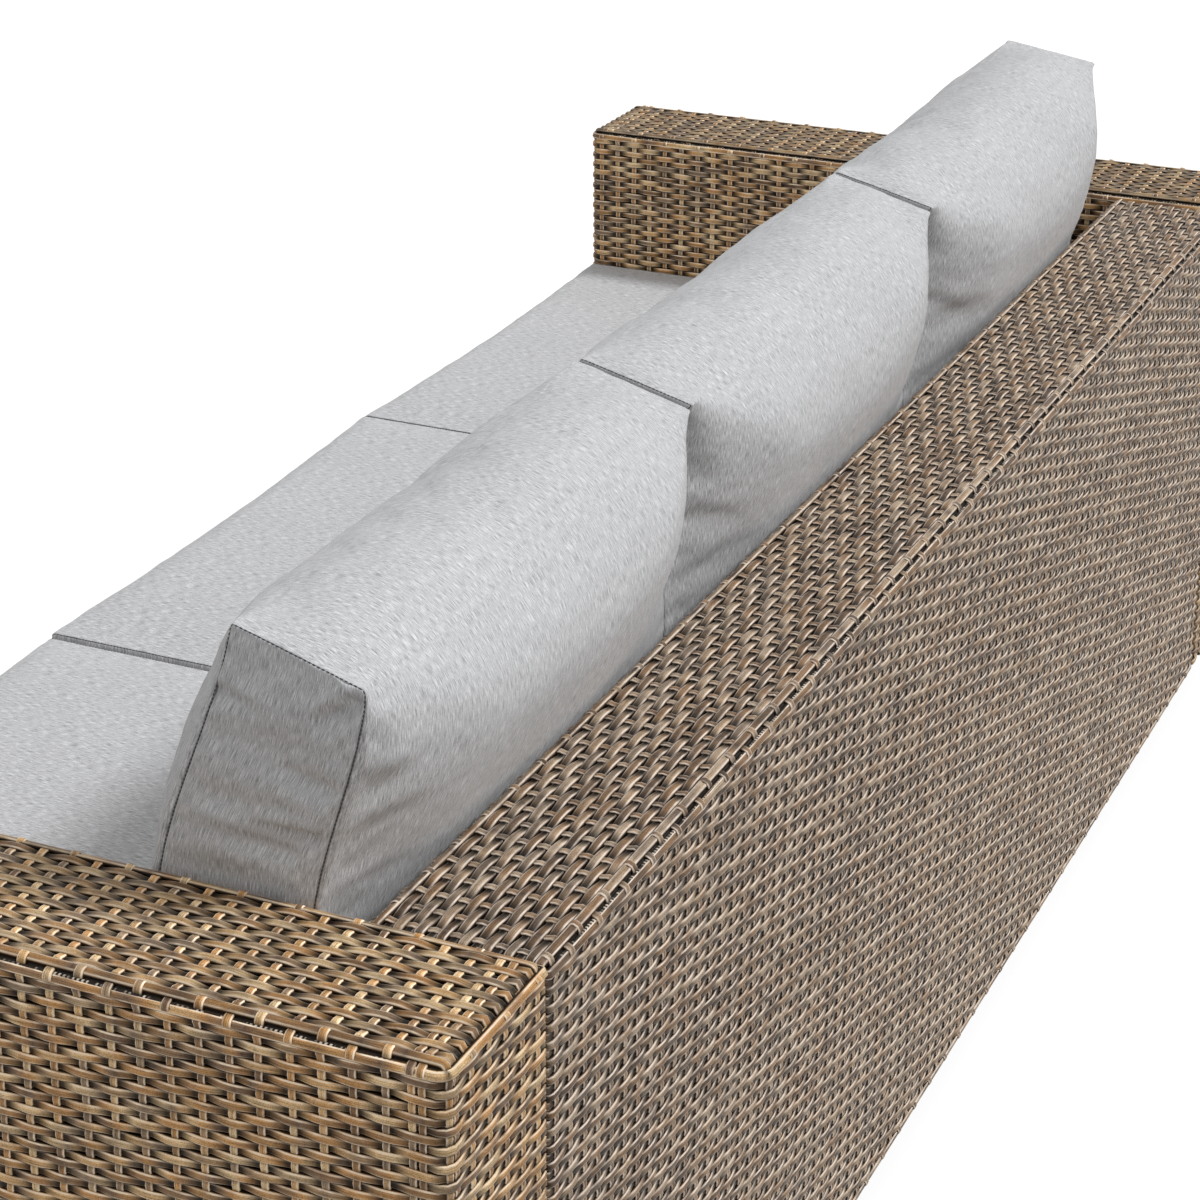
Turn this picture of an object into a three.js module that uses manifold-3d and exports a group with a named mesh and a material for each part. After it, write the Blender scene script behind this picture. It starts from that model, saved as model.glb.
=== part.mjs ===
// Three-seat rattan garden sofa with thick woven arms, a low woven back and six loose cushions.
// Millimetres. X runs along the sofa, the front faces -Y and +Z is up.
// The origin is on the floor, under the centre of the sofa.

import * as THREE from 'three';
import { mergeVertices } from 'three/addons/utils/BufferGeometryUtils.js';
import Module from 'manifold-3d';

const wasm = await Module();
wasm.setup();

// Driving sizes of the whole sofa
const sofaLength = 2076;
const sofaDepth = 800;
const armHeight = 620;
const armWidth = 138;
const backThickness = 134;
const backDrop = 6;
const skirtClearance = 40;
const deckHeight = 322;
const seatCount = 3;

// Woven skins: wall, rounded edges, the lip turned in under the frame, and the arm-to-back joint
const weaveThickness = 4;
const cornerRadius = 12;
const edgeRadius = 10;
const edgeSteps = 2;
const lipWidth = 18;
const panelGap = 1;
const deckNose = 16;

// Welded aluminium frame
const tubeSide = 25;
const tubeWall = 1.5;
const tubeCornerRadius = 3;
const tubeCornerSteps = 1;
const barThickness = 5;
const barWidth = 25;
const weldDepth = 0.75;
const slatWidth = 40;
const slatCount = 3;
const backRungCount = 5;
const backMidPostCount = 2;
const fitGap = 0.3;
const overrun = 5;

// Legs and their levelling glides
const legSide = 38;
const legWall = 3;
const legFloor = 6;
const legCornerRadius = 5;
const legInset = 70;
const legPlateLength = 60;
const glideRadius = 20;
const glideBevel = 2;
const glideHeight = 9;
const glideStemRadius = 4;
const glideStemLength = 22;
const glideSides = 16;

// Knock-down bolts
const boltRadius = 4;
const boltHeadRadius = 7;
const boltHeadHeight = 4.4;
const boltHeadCrownRadius = 4.5;
const boltTip = 1;
const boltEngagement = 20;
const boltSocketRadius = 2.8;
const boltSocketDepth = 2.6;
const boltSides = 8;
const seatBoltInset = 120;
const backBoltHeight = 120;

// Seat cushions
const cushionClearance = 4;
const seatCushionThickness = 104;
const seatCushionCrown = 8;
const seatCushionPull = 6;
const seatCushionRounding = 18;
const seatCushionFrontInset = 4;
const seatCushionRearGap = 2;

// Back cushions: the end panel's four corners, seen from the side, and how far each face swells
const backCushionTopFrontHeight = 786;
const backCushionTopRearHeight = 764;
const backCushionTopFrontReach = 126;
const backCushionTopRearReach = 23;
const backCushionBottomFrontReach = 184;
const backCushionBottomRearReach = 54;
const backCushionFrontCrown = 24;
const backCushionRearCrown = 24;
const backCushionTopCrown = 9;
const backCushionPull = 7;
const backCushionRounding = 16;

// Steps of a cushion's faces: along the flat of each side and round each edge
const cushionFlatSteps = [6, 5, 3];
const cushionEdgeSteps = 2;

// Lines that the pieces share
const innerHalf = sofaLength / 2 - armWidth;
const frontY = -sofaDepth / 2;
const rearY = sofaDepth / 2;
const backFrontY = rearY - backThickness;
const backTop = armHeight - backDrop;
const seatRearY = backFrontY - panelGap;
const skinToTube = weaveThickness + fitGap;
const lowRail = [skirtClearance + skinToTube, skirtClearance + skinToTube + tubeSide];
const seatRail = [deckHeight - skinToTube - tubeSide, deckHeight - skinToTube];
const armTopRail = [armHeight - skinToTube - tubeSide, armHeight - skinToTube];
const backTopRail = [backTop - skinToTube - tubeSide, backTop - skinToTube];
const armInnerTube = [innerHalf + skinToTube, innerHalf + skinToTube + tubeSide];
const armOuterTube = [sofaLength / 2 - skinToTube - tubeSide, sofaLength / 2 - skinToTube];
const frontTube = [frontY + skinToTube, frontY + skinToTube + tubeSide];
const rearTube = [rearY - skinToTube - tubeSide, rearY - skinToTube];
const backFrontTube = [backFrontY + skinToTube, backFrontY + skinToTube + tubeSide];
const backEnd = innerHalf - panelGap;
const backFrameEnd = backEnd - skinToTube;
const seatFrameEnd = innerHalf - fitGap;

// The skins' inside corners follow the tubes' rounded corners
const innerCornerRadius = tubeCornerRadius + fitGap;
const innerEdgeRadius = tubeCornerRadius;

const finishes = {
  weave: { color: 0x94795c, roughness: 0.55, metalness: 0 },
  frame: { color: 0x3a3733, roughness: 0.45, metalness: 0.6 },
  steel: { color: 0xb9bcc0, roughness: 0.35, metalness: 0.9 },
  glide: { color: 0x1b1b1c, roughness: 0.6, metalness: 0 },
  fabric: { color: 0xb4b5b6, roughness: 0.9, metalness: 0 },
};

const group = new THREE.Group();

function addPiece(name, geometry, finish) {
  const piece = new THREE.Mesh(geometry, new THREE.MeshStandardMaterial(finishes[finish]));
  piece.name = name;
  group.add(piece);
  return piece;
}

// Solids from geometries, and back

function solidOf(geometry) {
  const bare = geometry.clone();
  bare.deleteAttribute('normal');
  bare.deleteAttribute('uv');
  const merged = mergeVertices(bare);
  const corners = merged.index.array;
  const triVerts = [];
  for (let i = 0; i < corners.length; i += 3) {
    const [a, b, c] = [corners[i], corners[i + 1], corners[i + 2]];
    if (a !== b && b !== c && c !== a) triVerts.push(a, b, c);
  }
  return new wasm.Manifold(new wasm.Mesh({
    numProp: 3,
    vertProperties: new Float32Array(merged.attributes.position.array),
    triVerts: new Uint32Array(triVerts),
  }));
}

function geometryOf(solid) {
  const mesh = solid.getMesh();
  const geometry = new THREE.BufferGeometry();
  geometry.setAttribute('position', new THREE.BufferAttribute(new Float32Array(mesh.vertProperties), 3));
  geometry.setIndex(new THREE.BufferAttribute(new Uint32Array(mesh.triVerts), 1));
  geometry.computeVertexNormals();
  return geometry;
}

function joined(solids) {
  return solids.reduce((whole, solid) => whole.add(solid));
}

// Small helpers for ranges: [low, high] along one axis

const width = ([low, high]) => high - low;
const middle = ([low, high]) => (low + high) / 2;
const about = (centre, size) => [centre - size / 2, centre + size / 2];
const grown = ([low, high], by) => [low - by, high + by];
const onSide = (side, [low, high]) => (side > 0 ? [low, high] : [-high, -low]);

// Each axis with the two across it, in an order that keeps the turn right-handed
const across = { x: ['y', 'z'], y: ['z', 'x'], z: ['x', 'y'] };
const unit = {
  x: new THREE.Vector3(1, 0, 0),
  y: new THREE.Vector3(0, 1, 0),
  z: new THREE.Vector3(0, 0, 1),
};

function laidAlong(axis, geometry) {
  const [u, v] = across[axis];
  return geometry.applyMatrix4(new THREE.Matrix4().makeBasis(unit[u], unit[v], unit[axis]));
}

function roundedRectangle(sizeU, sizeV, radius) {
  const u = sizeU / 2 - radius;
  const v = sizeV / 2 - radius;
  const outline = new THREE.Shape();
  outline.absarc(u, v, radius, 0, Math.PI / 2);
  outline.absarc(-u, v, radius, Math.PI / 2, Math.PI);
  outline.absarc(-u, -v, radius, Math.PI, Math.PI * 1.5);
  outline.absarc(u, -v, radius, Math.PI * 1.5, Math.PI * 2);
  return outline;
}

function rectangle(sizeU, sizeV) {
  return new THREE.Path([
    new THREE.Vector2(-sizeU / 2, -sizeV / 2),
    new THREE.Vector2(sizeU / 2, -sizeV / 2),
    new THREE.Vector2(sizeU / 2, sizeV / 2),
    new THREE.Vector2(-sizeU / 2, sizeV / 2),
  ]);
}

// A bar of any outline that fills its range along one axis and is centred across it
function bar(axis, ranges, outline, steps) {
  const [u, v] = across[axis];
  const settings = { depth: width(ranges[axis]), bevelEnabled: false, curveSegments: steps };
  const geometry = laidAlong(axis, new THREE.ExtrudeGeometry(outline, settings));
  const centre = { [axis]: ranges[axis][0], [u]: middle(ranges[u]), [v]: middle(ranges[v]) };
  return solidOf(geometry.translate(centre.x, centre.y, centre.z));
}

function squareTube(axis, ranges) {
  const [u, v] = across[axis];
  const [sizeU, sizeV] = [width(ranges[u]), width(ranges[v])];
  const outline = roundedRectangle(sizeU, sizeV, tubeCornerRadius);
  outline.holes.push(rectangle(sizeU - tubeWall * 2, sizeV - tubeWall * 2));
  return bar(axis, ranges, outline, tubeCornerSteps);
}

function block(ranges) {
  const { x, y, z } = ranges;
  const geometry = new THREE.BoxGeometry(width(x), width(y), width(z));
  return solidOf(geometry.translate(middle(x), middle(y), middle(z)));
}

// A straight round hole along X, for a bolt
function boltHole(xRange, y, z) {
  const radius = boltRadius + fitGap;
  const reach = grown(xRange, overrun);
  const geometry = new THREE.CylinderGeometry(radius, radius, width(reach), boltSides);
  geometry.rotateZ(Math.PI / 2);
  return solidOf(geometry.translate(middle(reach), y, z));
}

// Woven skins

// A block with rounded upright corners and a rounded top edge, square at the bottom
function roundedTopBlock({ x, y, z }, upright, top) {
  const settings = {
    depth: width(z) - top,
    bevelThickness: top,
    bevelSize: top,
    bevelOffset: -top,
    bevelSegments: edgeSteps,
    curveSegments: edgeSteps,
  };
  const geometry = new THREE.ExtrudeGeometry(roundedRectangle(width(x), width(y), upright), settings);
  const whole = solidOf(geometry.translate(middle(x), middle(y), z[0]));
  return whole.intersect(block({ x: grown(x, overrun), y: grown(y, overrun), z: [z[0], z[1] + overrun] }));
}

// A skin closed on five sides, with a lip turned in all round its open bottom
function wovenShell(ranges) {
  const { x, y, z } = ranges;
  const cavity = {
    x: grown(x, -weaveThickness),
    y: grown(y, -weaveThickness),
    z: grown(z, -weaveThickness),
  };
  const mouth = {
    x: grown(x, -lipWidth),
    y: grown(y, -lipWidth),
    z: [z[0] - overrun, z[0] + weaveThickness + overrun],
  };
  const mouthOutline = roundedRectangle(width(mouth.x), width(mouth.y), innerCornerRadius);
  return roundedTopBlock(ranges, cornerRadius, edgeRadius)
    .subtract(roundedTopBlock(cavity, innerCornerRadius, innerEdgeRadius))
    .subtract(bar('z', mouth, mouthOutline, edgeSteps));
}

// A section in Y and Z, drawn in place and run along X between the arms
function runAlongX(section) {
  const settings = { depth: seatFrameEnd * 2, bevelEnabled: false, curveSegments: edgeSteps };
  const geometry = laidAlong('x', new THREE.ExtrudeGeometry(section, settings));
  return geometry.translate(-seatFrameEnd, 0, 0);
}

function deckSection() {
  const turn = edgeRadius;
  const innerTurn = innerCornerRadius;
  const innerCentre = [frontY + weaveThickness + innerTurn, deckHeight - weaveThickness - innerTurn];
  const section = new THREE.Shape();
  section.moveTo(seatRearY, deckHeight - weaveThickness);
  section.lineTo(seatRearY, deckHeight);
  section.absarc(frontY + turn, deckHeight - turn, turn, Math.PI / 2, Math.PI, false);
  section.lineTo(frontY, deckHeight - deckNose);
  section.lineTo(frontY + weaveThickness, deckHeight - deckNose);
  section.absarc(...innerCentre, innerTurn, Math.PI, Math.PI / 2, true);
  return section;
}

function apronSection() {
  const turn = edgeRadius;
  const innerTurn = innerCornerRadius;
  const innerCentre = [frontY + weaveThickness + innerTurn, skirtClearance + weaveThickness + innerTurn];
  const top = deckHeight - deckNose - fitGap;
  const section = new THREE.Shape();
  section.moveTo(frontY + weaveThickness, top);
  section.lineTo(frontY, top);
  section.absarc(frontY + turn, skirtClearance + turn, turn, Math.PI, Math.PI * 1.5, false);
  section.lineTo(frontY + lipWidth, skirtClearance);
  section.lineTo(frontY + lipWidth, skirtClearance + weaveThickness);
  section.absarc(...innerCentre, innerTurn, Math.PI * 1.5, Math.PI, true);
  return section;
}

// Welded frame parts

// Two long tubes with flat bars welded between them
function ladder(axis, rails, rungAxis, z, rungs, barRange) {
  const tubes = rails.map((rail) => squareTube(axis, { ...rail, z }));
  const [near, far] = rails.map((rail) => rail[rungAxis]);
  const gap = grown([near[1], far[0]], weldDepth);
  const bars = rungs.map(({ at, size }) => block({ [axis]: about(at, size), [rungAxis]: gap, z: barRange }));
  return joined([...tubes, ...bars]);
}

// Two upright tubes with one flat bar welded between them at half height
function postPair(posts, barAxis, z) {
  const tubes = posts.map((post) => squareTube('z', { ...post, z }));
  const thin = barAxis === 'x' ? 'y' : 'x';
  const gap = grown([posts[0][barAxis][1], posts[1][barAxis][0]], weldDepth);
  const crossBar = block({
    [barAxis]: gap,
    [thin]: about(middle(posts[0][thin]), barThickness),
    z: about(middle(z), barWidth),
  });
  return joined([...tubes, crossBar]);
}

function evenly(count, low, high) {
  return Array.from({ length: count }, (_, i) => low + ((high - low) * (i + 1)) / (count + 1));
}

// Places of the legs and bolts
const armCentre = innerHalf + armWidth / 2;
const armLegY = [frontY + legInset, rearY - legInset];
const backLegY = middle([backFrontTube[0], rearTube[1]]);
const frontLegY = frontTube[1] + legPlateLength / 2;
const lowPlate = [lowRail[0], lowRail[0] + barThickness];
const armTopPlate = [armTopRail[1] - barThickness, armTopRail[1]];
const backTopPlate = [backTopRail[1] - barThickness, backTopRail[1]];
const armPostZ = [lowRail[1] + fitGap, armTopRail[0] - fitGap];
const backPostZ = [lowRail[1] + fitGap, backTopRail[0] - fitGap];
const seatRailZ = middle(seatRail);
const seatSideTube = [seatFrameEnd - tubeSide, seatFrameEnd];
const backEndTube = [backFrameEnd - tubeSide, backFrameEnd];
const seatSpanY = [frontTube[0] + tubeCornerRadius, seatRearY];
const seatBolts = [seatSpanY[0] + seatBoltInset, seatSpanY[1] - seatBoltInset].map((y) => ({
  y,
  z: seatRailZ,
  bearing: seatSideTube[0],
}));
const backFrontBolt = { y: middle(backFrontTube), z: seatRailZ, bearing: backEndTube[0] };
const backRearBolt = { y: middle(rearTube), z: backBoltHeight, bearing: backEndTube[0] };
const sideNames = [[-1, 'right'], [1, 'left']];

function drilled(solid, side, bolts) {
  const reach = onSide(side, [backEndTube[0], armInnerTube[1]]);
  return bolts.reduce((rest, bolt) => rest.subtract(boltHole(reach, bolt.y, bolt.z)), solid);
}

function addArm(side, name) {
  const inner = onSide(side, armInnerTube);
  const outer = onSide(side, armOuterTube);
  const [low, high] = side > 0 ? [inner, outer] : [outer, inner];
  const skin = wovenShell({
    x: onSide(side, [innerHalf, sofaLength / 2]),
    y: [frontY, rearY],
    z: [skirtClearance, armHeight],
  });
  const everyBolt = [...seatBolts, backFrontBolt, backRearBolt];
  addPiece(`arm_weave_${name}`, geometryOf(drilled(skin, side, everyBolt)), 'weave');

  const railY = [frontTube[0] + tubeCornerRadius, rearTube[1] - tubeCornerRadius];
  const rails = [{ x: low, y: railY }, { x: high, y: railY }];
  const plates = armLegY.map((at) => ({ at, size: legPlateLength }));
  const topRungs = [...armLegY, 0].map((at) => ({ at, size: barWidth }));
  addPiece(`arm_base_ladder_${name}`, geometryOf(ladder('y', rails, 'x', lowRail, plates, lowPlate)), 'frame');
  addPiece(
    `arm_top_ladder_${name}`,
    geometryOf(ladder('y', rails, 'x', armTopRail, topRungs, armTopPlate)),
    'frame',
  );

  const frontPosts = [{ x: low, y: frontTube }, { x: high, y: frontTube }];
  addPiece(`arm_front_posts_${name}`, geometryOf(postPair(frontPosts, 'x', armPostZ)), 'frame');
  const rearPosts = [{ x: low, y: rearTube }, { x: high, y: rearTube }];
  const rearPair = drilled(postPair(rearPosts, 'x', armPostZ), side, [backRearBolt]);
  addPiece(`arm_rear_posts_${name}`, geometryOf(rearPair), 'frame');

  const seatRailY = [frontTube[1] + fitGap, rearTube[0] - fitGap];
  const support = squareTube('y', { x: inner, y: seatRailY, z: seatRail });
  const supportBolts = [...seatBolts, backFrontBolt];
  addPiece(`arm_seat_rail_${name}`, geometryOf(drilled(support, side, supportBolts)), 'frame');
}

function addBack() {
  const skin = wovenShell({
    x: [-backEnd, backEnd],
    y: [backFrontY, rearY],
    z: [skirtClearance, backTop],
  });
  const bolts = [backFrontBolt, backRearBolt];
  addPiece('back_weave', geometryOf(drilled(drilled(skin, 1, bolts), -1, bolts)), 'weave');

  const railX = grown([-backFrameEnd, backFrameEnd], -tubeCornerRadius);
  const rails = [{ x: railX, y: backFrontTube }, { x: railX, y: rearTube }];
  const rungs = evenly(backRungCount, ...railX).map((at) => ({ at, size: legPlateLength }));
  addPiece('back_base_ladder', geometryOf(ladder('x', rails, 'y', lowRail, rungs, lowPlate)), 'frame');
  addPiece('back_top_ladder', geometryOf(ladder('x', rails, 'y', backTopRail, rungs, backTopPlate)), 'frame');

  for (const [side, name] of sideNames) {
    const x = onSide(side, backEndTube);
    const posts = postPair([{ x, y: backFrontTube }, { x, y: rearTube }], 'y', backPostZ);
    addPiece(`back_end_posts_${name}`, geometryOf(drilled(posts, side, bolts)), 'frame');
  }
  evenly(backMidPostCount, ...railX).forEach((at, i) => {
    const x = about(at, tubeSide);
    const posts = postPair([{ x, y: backFrontTube }, { x, y: rearTube }], 'y', backPostZ);
    addPiece(`back_mid_posts_${i + 1}`, geometryOf(posts), 'frame');
  });
}

function addSeat() {
  addPiece('seat_deck_weave', runAlongX(deckSection()), 'weave');
  addPiece('front_apron_weave', runAlongX(apronSection()), 'weave');

  for (const [side, name] of sideNames) {
    const rail = squareTube('y', { x: onSide(side, seatSideTube), y: seatSpanY, z: seatRail });
    addPiece(`seat_side_rail_${name}`, geometryOf(drilled(rail, side, seatBolts)), 'frame');
  }
  const between = grown([-seatSideTube[0], seatSideTube[0]], -fitGap);
  const seatRearTube = [seatRearY - tubeSide, seatRearY];
  const frontRail = squareTube('x', { x: between, y: frontTube, z: seatRail });
  const rearRail = squareTube('x', { x: between, y: seatRearTube, z: seatRail });
  addPiece('seat_front_rail', geometryOf(frontRail), 'frame');
  addPiece('seat_rear_rail', geometryOf(rearRail), 'frame');

  const slatY = [frontTube[1] + fitGap, seatRearTube[0] - fitGap];
  evenly(slatCount, ...between).forEach((at, i) => {
    const slat = squareTube('y', { x: about(at, slatWidth), y: slatY, z: seatRail });
    addPiece(`seat_slat_${i + 1}`, geometryOf(slat), 'frame');
  });

  // The lower rail carries the plate that the middle front leg screws to
  const lowerRail = squareTube('x', { x: [-seatFrameEnd, seatFrameEnd], y: frontTube, z: lowRail });
  addPiece('front_lower_rail', geometryOf(lowerRail), 'frame');
  const plateY = [frontTube[1] + fitGap, frontTube[1] + legPlateLength];
  const plate = block({ x: about(0, legPlateLength), y: plateY, z: lowPlate });
  addPiece('middle_leg_plate', geometryOf(plate), 'frame');

  const postZ = [lowRail[1] + fitGap, seatRail[0] - fitGap];
  const postX = [-middle(seatSideTube), 0, middle(seatSideTube)];
  ['right', 'middle', 'left'].forEach((name, i) => {
    const post = squareTube('z', { x: about(postX[i], tubeSide), y: frontTube, z: postZ });
    addPiece(`front_post_${name}`, geometryOf(post), 'frame');
  });
}

// Legs and glides

function legGeometry() {
  const z = [glideHeight + fitGap, lowPlate[0] - fitGap];
  const outline = (size, radius) => roundedRectangle(size, size, radius);
  const side = about(0, legSide);
  const hollow = legSide - legWall * 2;
  const outer = bar('z', { x: side, y: side, z }, outline(legSide, legCornerRadius), edgeSteps);
  const pocket = bar(
    'z',
    { x: side, y: side, z: [z[0] + legFloor, z[1] + overrun] },
    outline(hollow, legCornerRadius - legWall),
    edgeSteps,
  );
  const stemHole = new THREE.CylinderGeometry(
    glideStemRadius + fitGap,
    glideStemRadius + fitGap,
    legFloor + overrun * 2,
    glideSides,
  );
  stemHole.rotateX(Math.PI / 2).translate(0, 0, z[0] + legFloor / 2);
  return geometryOf(outer.subtract(pocket).subtract(solidOf(stemHole)));
}

function glideGeometry() {
  const profile = [
    [0, 0],
    [glideRadius - glideBevel, 0],
    [glideRadius, glideBevel],
    [glideRadius, glideHeight - glideBevel],
    [glideRadius - glideBevel, glideHeight],
    [glideStemRadius, glideHeight],
    [glideStemRadius, glideHeight + glideStemLength],
    [0, glideHeight + glideStemLength],
  ].map(([r, h]) => new THREE.Vector2(r, h));
  const turned = new THREE.LatheGeometry(profile, glideSides).rotateX(Math.PI / 2);
  return geometryOf(solidOf(turned));
}

function addLegs() {
  const places = [
    ['middle_front', 0, frontLegY],
    ['middle_rear', 0, backLegY],
  ];
  for (const [side, name] of sideNames) {
    places.push([`${name}_front`, side * armCentre, armLegY[0]]);
    places.push([`${name}_rear`, side * armCentre, armLegY[1]]);
  }
  for (const [name, x, y] of places) {
    addPiece(`leg_${name}`, legGeometry(), 'frame').position.set(x, y, 0);
    addPiece(`glide_${name}`, glideGeometry(), 'glide').position.set(x, y, 0);
  }
}

// Knock-down bolts

// A button-head bolt along +Y with its bearing face at the origin and a hexagon socket in its head
function boltGeometry(length) {
  const profile = [
    [0, -boltHeadHeight],
    [boltHeadCrownRadius, -boltHeadHeight],
    [boltHeadRadius, 0],
    [boltRadius, 0],
    [boltRadius, length - boltTip],
    [boltRadius - boltTip, length],
    [0, length],
  ].map(([r, h]) => new THREE.Vector2(r, h));
  const reach = boltSocketDepth + overrun;
  const socket = new THREE.CylinderGeometry(boltSocketRadius, boltSocketRadius, reach, 6);
  socket.translate(0, boltSocketDepth - boltHeadHeight - reach / 2, 0);
  return geometryOf(solidOf(new THREE.LatheGeometry(profile, boltSides)).subtract(solidOf(socket)));
}

function addBolts() {
  const bolts = [
    ['seat_front', seatBolts[0]],
    ['seat_rear', seatBolts[1]],
    ['back_front', backFrontBolt],
    ['back_rear', backRearBolt],
  ];
  for (const [side, sideName] of sideNames) {
    for (const [name, { y, z, bearing }] of bolts) {
      const length = armInnerTube[0] + boltEngagement - bearing;
      const bolt = addPiece(`bolt_${name}_${sideName}`, boltGeometry(length), 'steel');
      bolt.position.set(side * (bearing - fitGap), y, z);
      bolt.rotation.z = (-side * Math.PI) / 2;
    }
  }
}

// Cushions

// Places along one side of a rounded block, as shares of its half: close together round the edges
function sideShares(half, radius, flatSteps) {
  const flat = 1 - radius / half;
  const shares = [];
  for (let i = 0; i < cushionEdgeSteps; i += 1) {
    shares.push(-1 + ((1 - flat) * i) / cushionEdgeSteps);
  }
  for (let i = 0; i <= flatSteps; i += 1) {
    shares.push(flat * ((2 * i) / flatSteps - 1));
  }
  for (let i = cushionEdgeSteps - 1; i >= 0; i -= 1) {
    shares.push(1 - ((1 - flat) * i) / cushionEdgeSteps);
  }
  return shares;
}

// A stuffed block. half holds its half sizes along X, depth and height. section turns the depth and
// height shares of a point into Y and Z. swell says how far the front, rear and top faces crown, and
// pull how far the middle of each side is drawn in between its corners.
function cushionGeometry(half, radius, section, swell, pull) {
  const shares = half.map((size, i) => sideShares(size, radius, cushionFlatSteps[i]));
  const counts = shares.map((list) => list.length - 1);
  const raw = new THREE.BoxGeometry(1, 1, 1, ...counts);
  raw.deleteAttribute('normal');
  raw.deleteAttribute('uv');
  const geometry = mergeVertices(raw);
  const position = geometry.attributes.position;
  const point = new THREE.Vector3();
  const core = new THREE.Vector3();
  const inner = new THREE.Vector3(...half).subScalar(radius);
  for (let i = 0; i < position.count; i += 1) {
    point.fromBufferAttribute(position, i);
    const place = ['x', 'y', 'z'].map((axis, k) => {
      const step = Math.round((point[axis] + 1 / 2) * counts[k]);
      return shares[k][step] * half[k];
    });
    point.set(...place);
    core.copy(point).clamp(inner.clone().negate(), inner);
    const rounding = point.clone().sub(core);
    if (rounding.lengthSq() > 0) point.copy(core).add(rounding.setLength(radius));
    const [a, b, c] = [point.x / half[0], point.y / half[1], point.z / half[2]];
    const [overX, overY, overZ] = [1 - a * a, 1 - b * b, 1 - c * c];
    const [y, z] = section(b, c);
    const front = b < 0 ? swell.front * b * b * overX * overZ : 0;
    const rear = b > 0 ? swell.rear * b * b * overX * overZ : 0;
    const top = c > 0 ? swell.top * c * c * overX * overY : 0;
    position.setXYZ(
      i,
      point.x - pull * a * Math.abs(a) * overZ * overY,
      y - front + rear,
      z + top,
    );
  }
  return geometryOf(solidOf(geometry));
}

const cushionWidth = (innerHalf * 2 - cushionClearance * (seatCount + 1)) / seatCount;
const cushionPlaces = Array.from({ length: seatCount }, (_, i) => (
  -innerHalf + cushionClearance + cushionWidth / 2 + i * (cushionWidth + cushionClearance)
));
const seatCushionBottom = deckHeight + fitGap;
const seatCushionTop = seatCushionBottom + seatCushionThickness;
const seatCushionY = [frontY + seatCushionFrontInset, backFrontY - seatCushionRearGap];

// Height of a seat cushion's crown along its middle line
function seatCrownAt(y) {
  const share = (y - middle(seatCushionY)) / (width(seatCushionY) / 2);
  return seatCushionTop + seatCushionCrown * (1 - share * share);
}

function addSeatCushions() {
  const y = seatCushionY;
  const half = [cushionWidth / 2, width(y) / 2, seatCushionThickness / 2];
  const section = (b, c) => [middle(y) + b * half[1], seatCushionBottom + half[2] * (1 + c)];
  const swell = { front: -seatCushionPull, rear: -seatCushionPull, top: seatCushionCrown };
  const geometry = cushionGeometry(half, seatCushionRounding, section, swell, seatCushionPull);
  cushionPlaces.forEach((x, i) => {
    addPiece(`seat_cushion_${i + 1}`, geometry.clone(), 'fabric').position.x = x;
  });
}

function addBackCushions() {
  const bottom = seatCrownAt(backFrontY - backCushionBottomFrontReach) + fitGap;
  const corner = {
    topFront: [backFrontY - backCushionTopFrontReach, backCushionTopFrontHeight],
    topRear: [backFrontY - backCushionTopRearReach, backCushionTopRearHeight],
    lowFront: [backFrontY - backCushionBottomFrontReach, bottom],
    lowRear: [backFrontY - backCushionBottomRearReach, bottom],
  };
  const section = (b, c) => {
    const blend = (k) => {
      const low = corner.lowFront[k] + ((corner.lowRear[k] - corner.lowFront[k]) * (b + 1)) / 2;
      const high = corner.topFront[k] + ((corner.topRear[k] - corner.topFront[k]) * (b + 1)) / 2;
      return low + ((high - low) * (c + 1)) / 2;
    };
    return [blend(0), blend(1)];
  };
  const half = [
    cushionWidth / 2,
    (backCushionBottomFrontReach - backCushionBottomRearReach) / 2,
    (backCushionTopFrontHeight - bottom) / 2,
  ];
  const swell = {
    front: backCushionFrontCrown,
    rear: backCushionRearCrown,
    top: backCushionTopCrown,
  };
  const geometry = cushionGeometry(half, backCushionRounding, section, swell, backCushionPull);
  cushionPlaces.forEach((x, i) => {
    addPiece(`back_cushion_${i + 1}`, geometry.clone(), 'fabric').position.x = x;
  });
}

for (const [side, name] of sideNames) addArm(side, name);
addBack();
addSeat();
addLegs();
addBolts();
addSeatCushions();
addBackCushions();

export default group;
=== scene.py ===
"""A three-seat woven garden sofa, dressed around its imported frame.

Metres, in the frame's own axes: X runs along the sofa, the front faces -Y and +Z is up.
"""

import math

import bmesh
import bpy
import numpy as np
from mathutils import Matrix, Vector


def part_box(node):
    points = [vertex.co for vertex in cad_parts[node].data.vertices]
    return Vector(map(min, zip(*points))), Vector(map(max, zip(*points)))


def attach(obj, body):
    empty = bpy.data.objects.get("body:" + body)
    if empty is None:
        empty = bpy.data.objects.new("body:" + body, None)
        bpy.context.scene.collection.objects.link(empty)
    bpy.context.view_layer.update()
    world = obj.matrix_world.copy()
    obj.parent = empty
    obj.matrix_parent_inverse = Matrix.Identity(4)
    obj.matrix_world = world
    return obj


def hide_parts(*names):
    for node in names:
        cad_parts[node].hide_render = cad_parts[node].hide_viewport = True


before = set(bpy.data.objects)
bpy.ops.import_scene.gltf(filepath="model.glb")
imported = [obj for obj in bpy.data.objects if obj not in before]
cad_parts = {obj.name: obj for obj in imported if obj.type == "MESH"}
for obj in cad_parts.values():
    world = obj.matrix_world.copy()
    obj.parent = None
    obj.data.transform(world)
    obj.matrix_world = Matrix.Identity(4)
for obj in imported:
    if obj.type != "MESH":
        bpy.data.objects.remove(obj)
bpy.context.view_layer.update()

FRAME_BODY = "sofa_frame"

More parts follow.
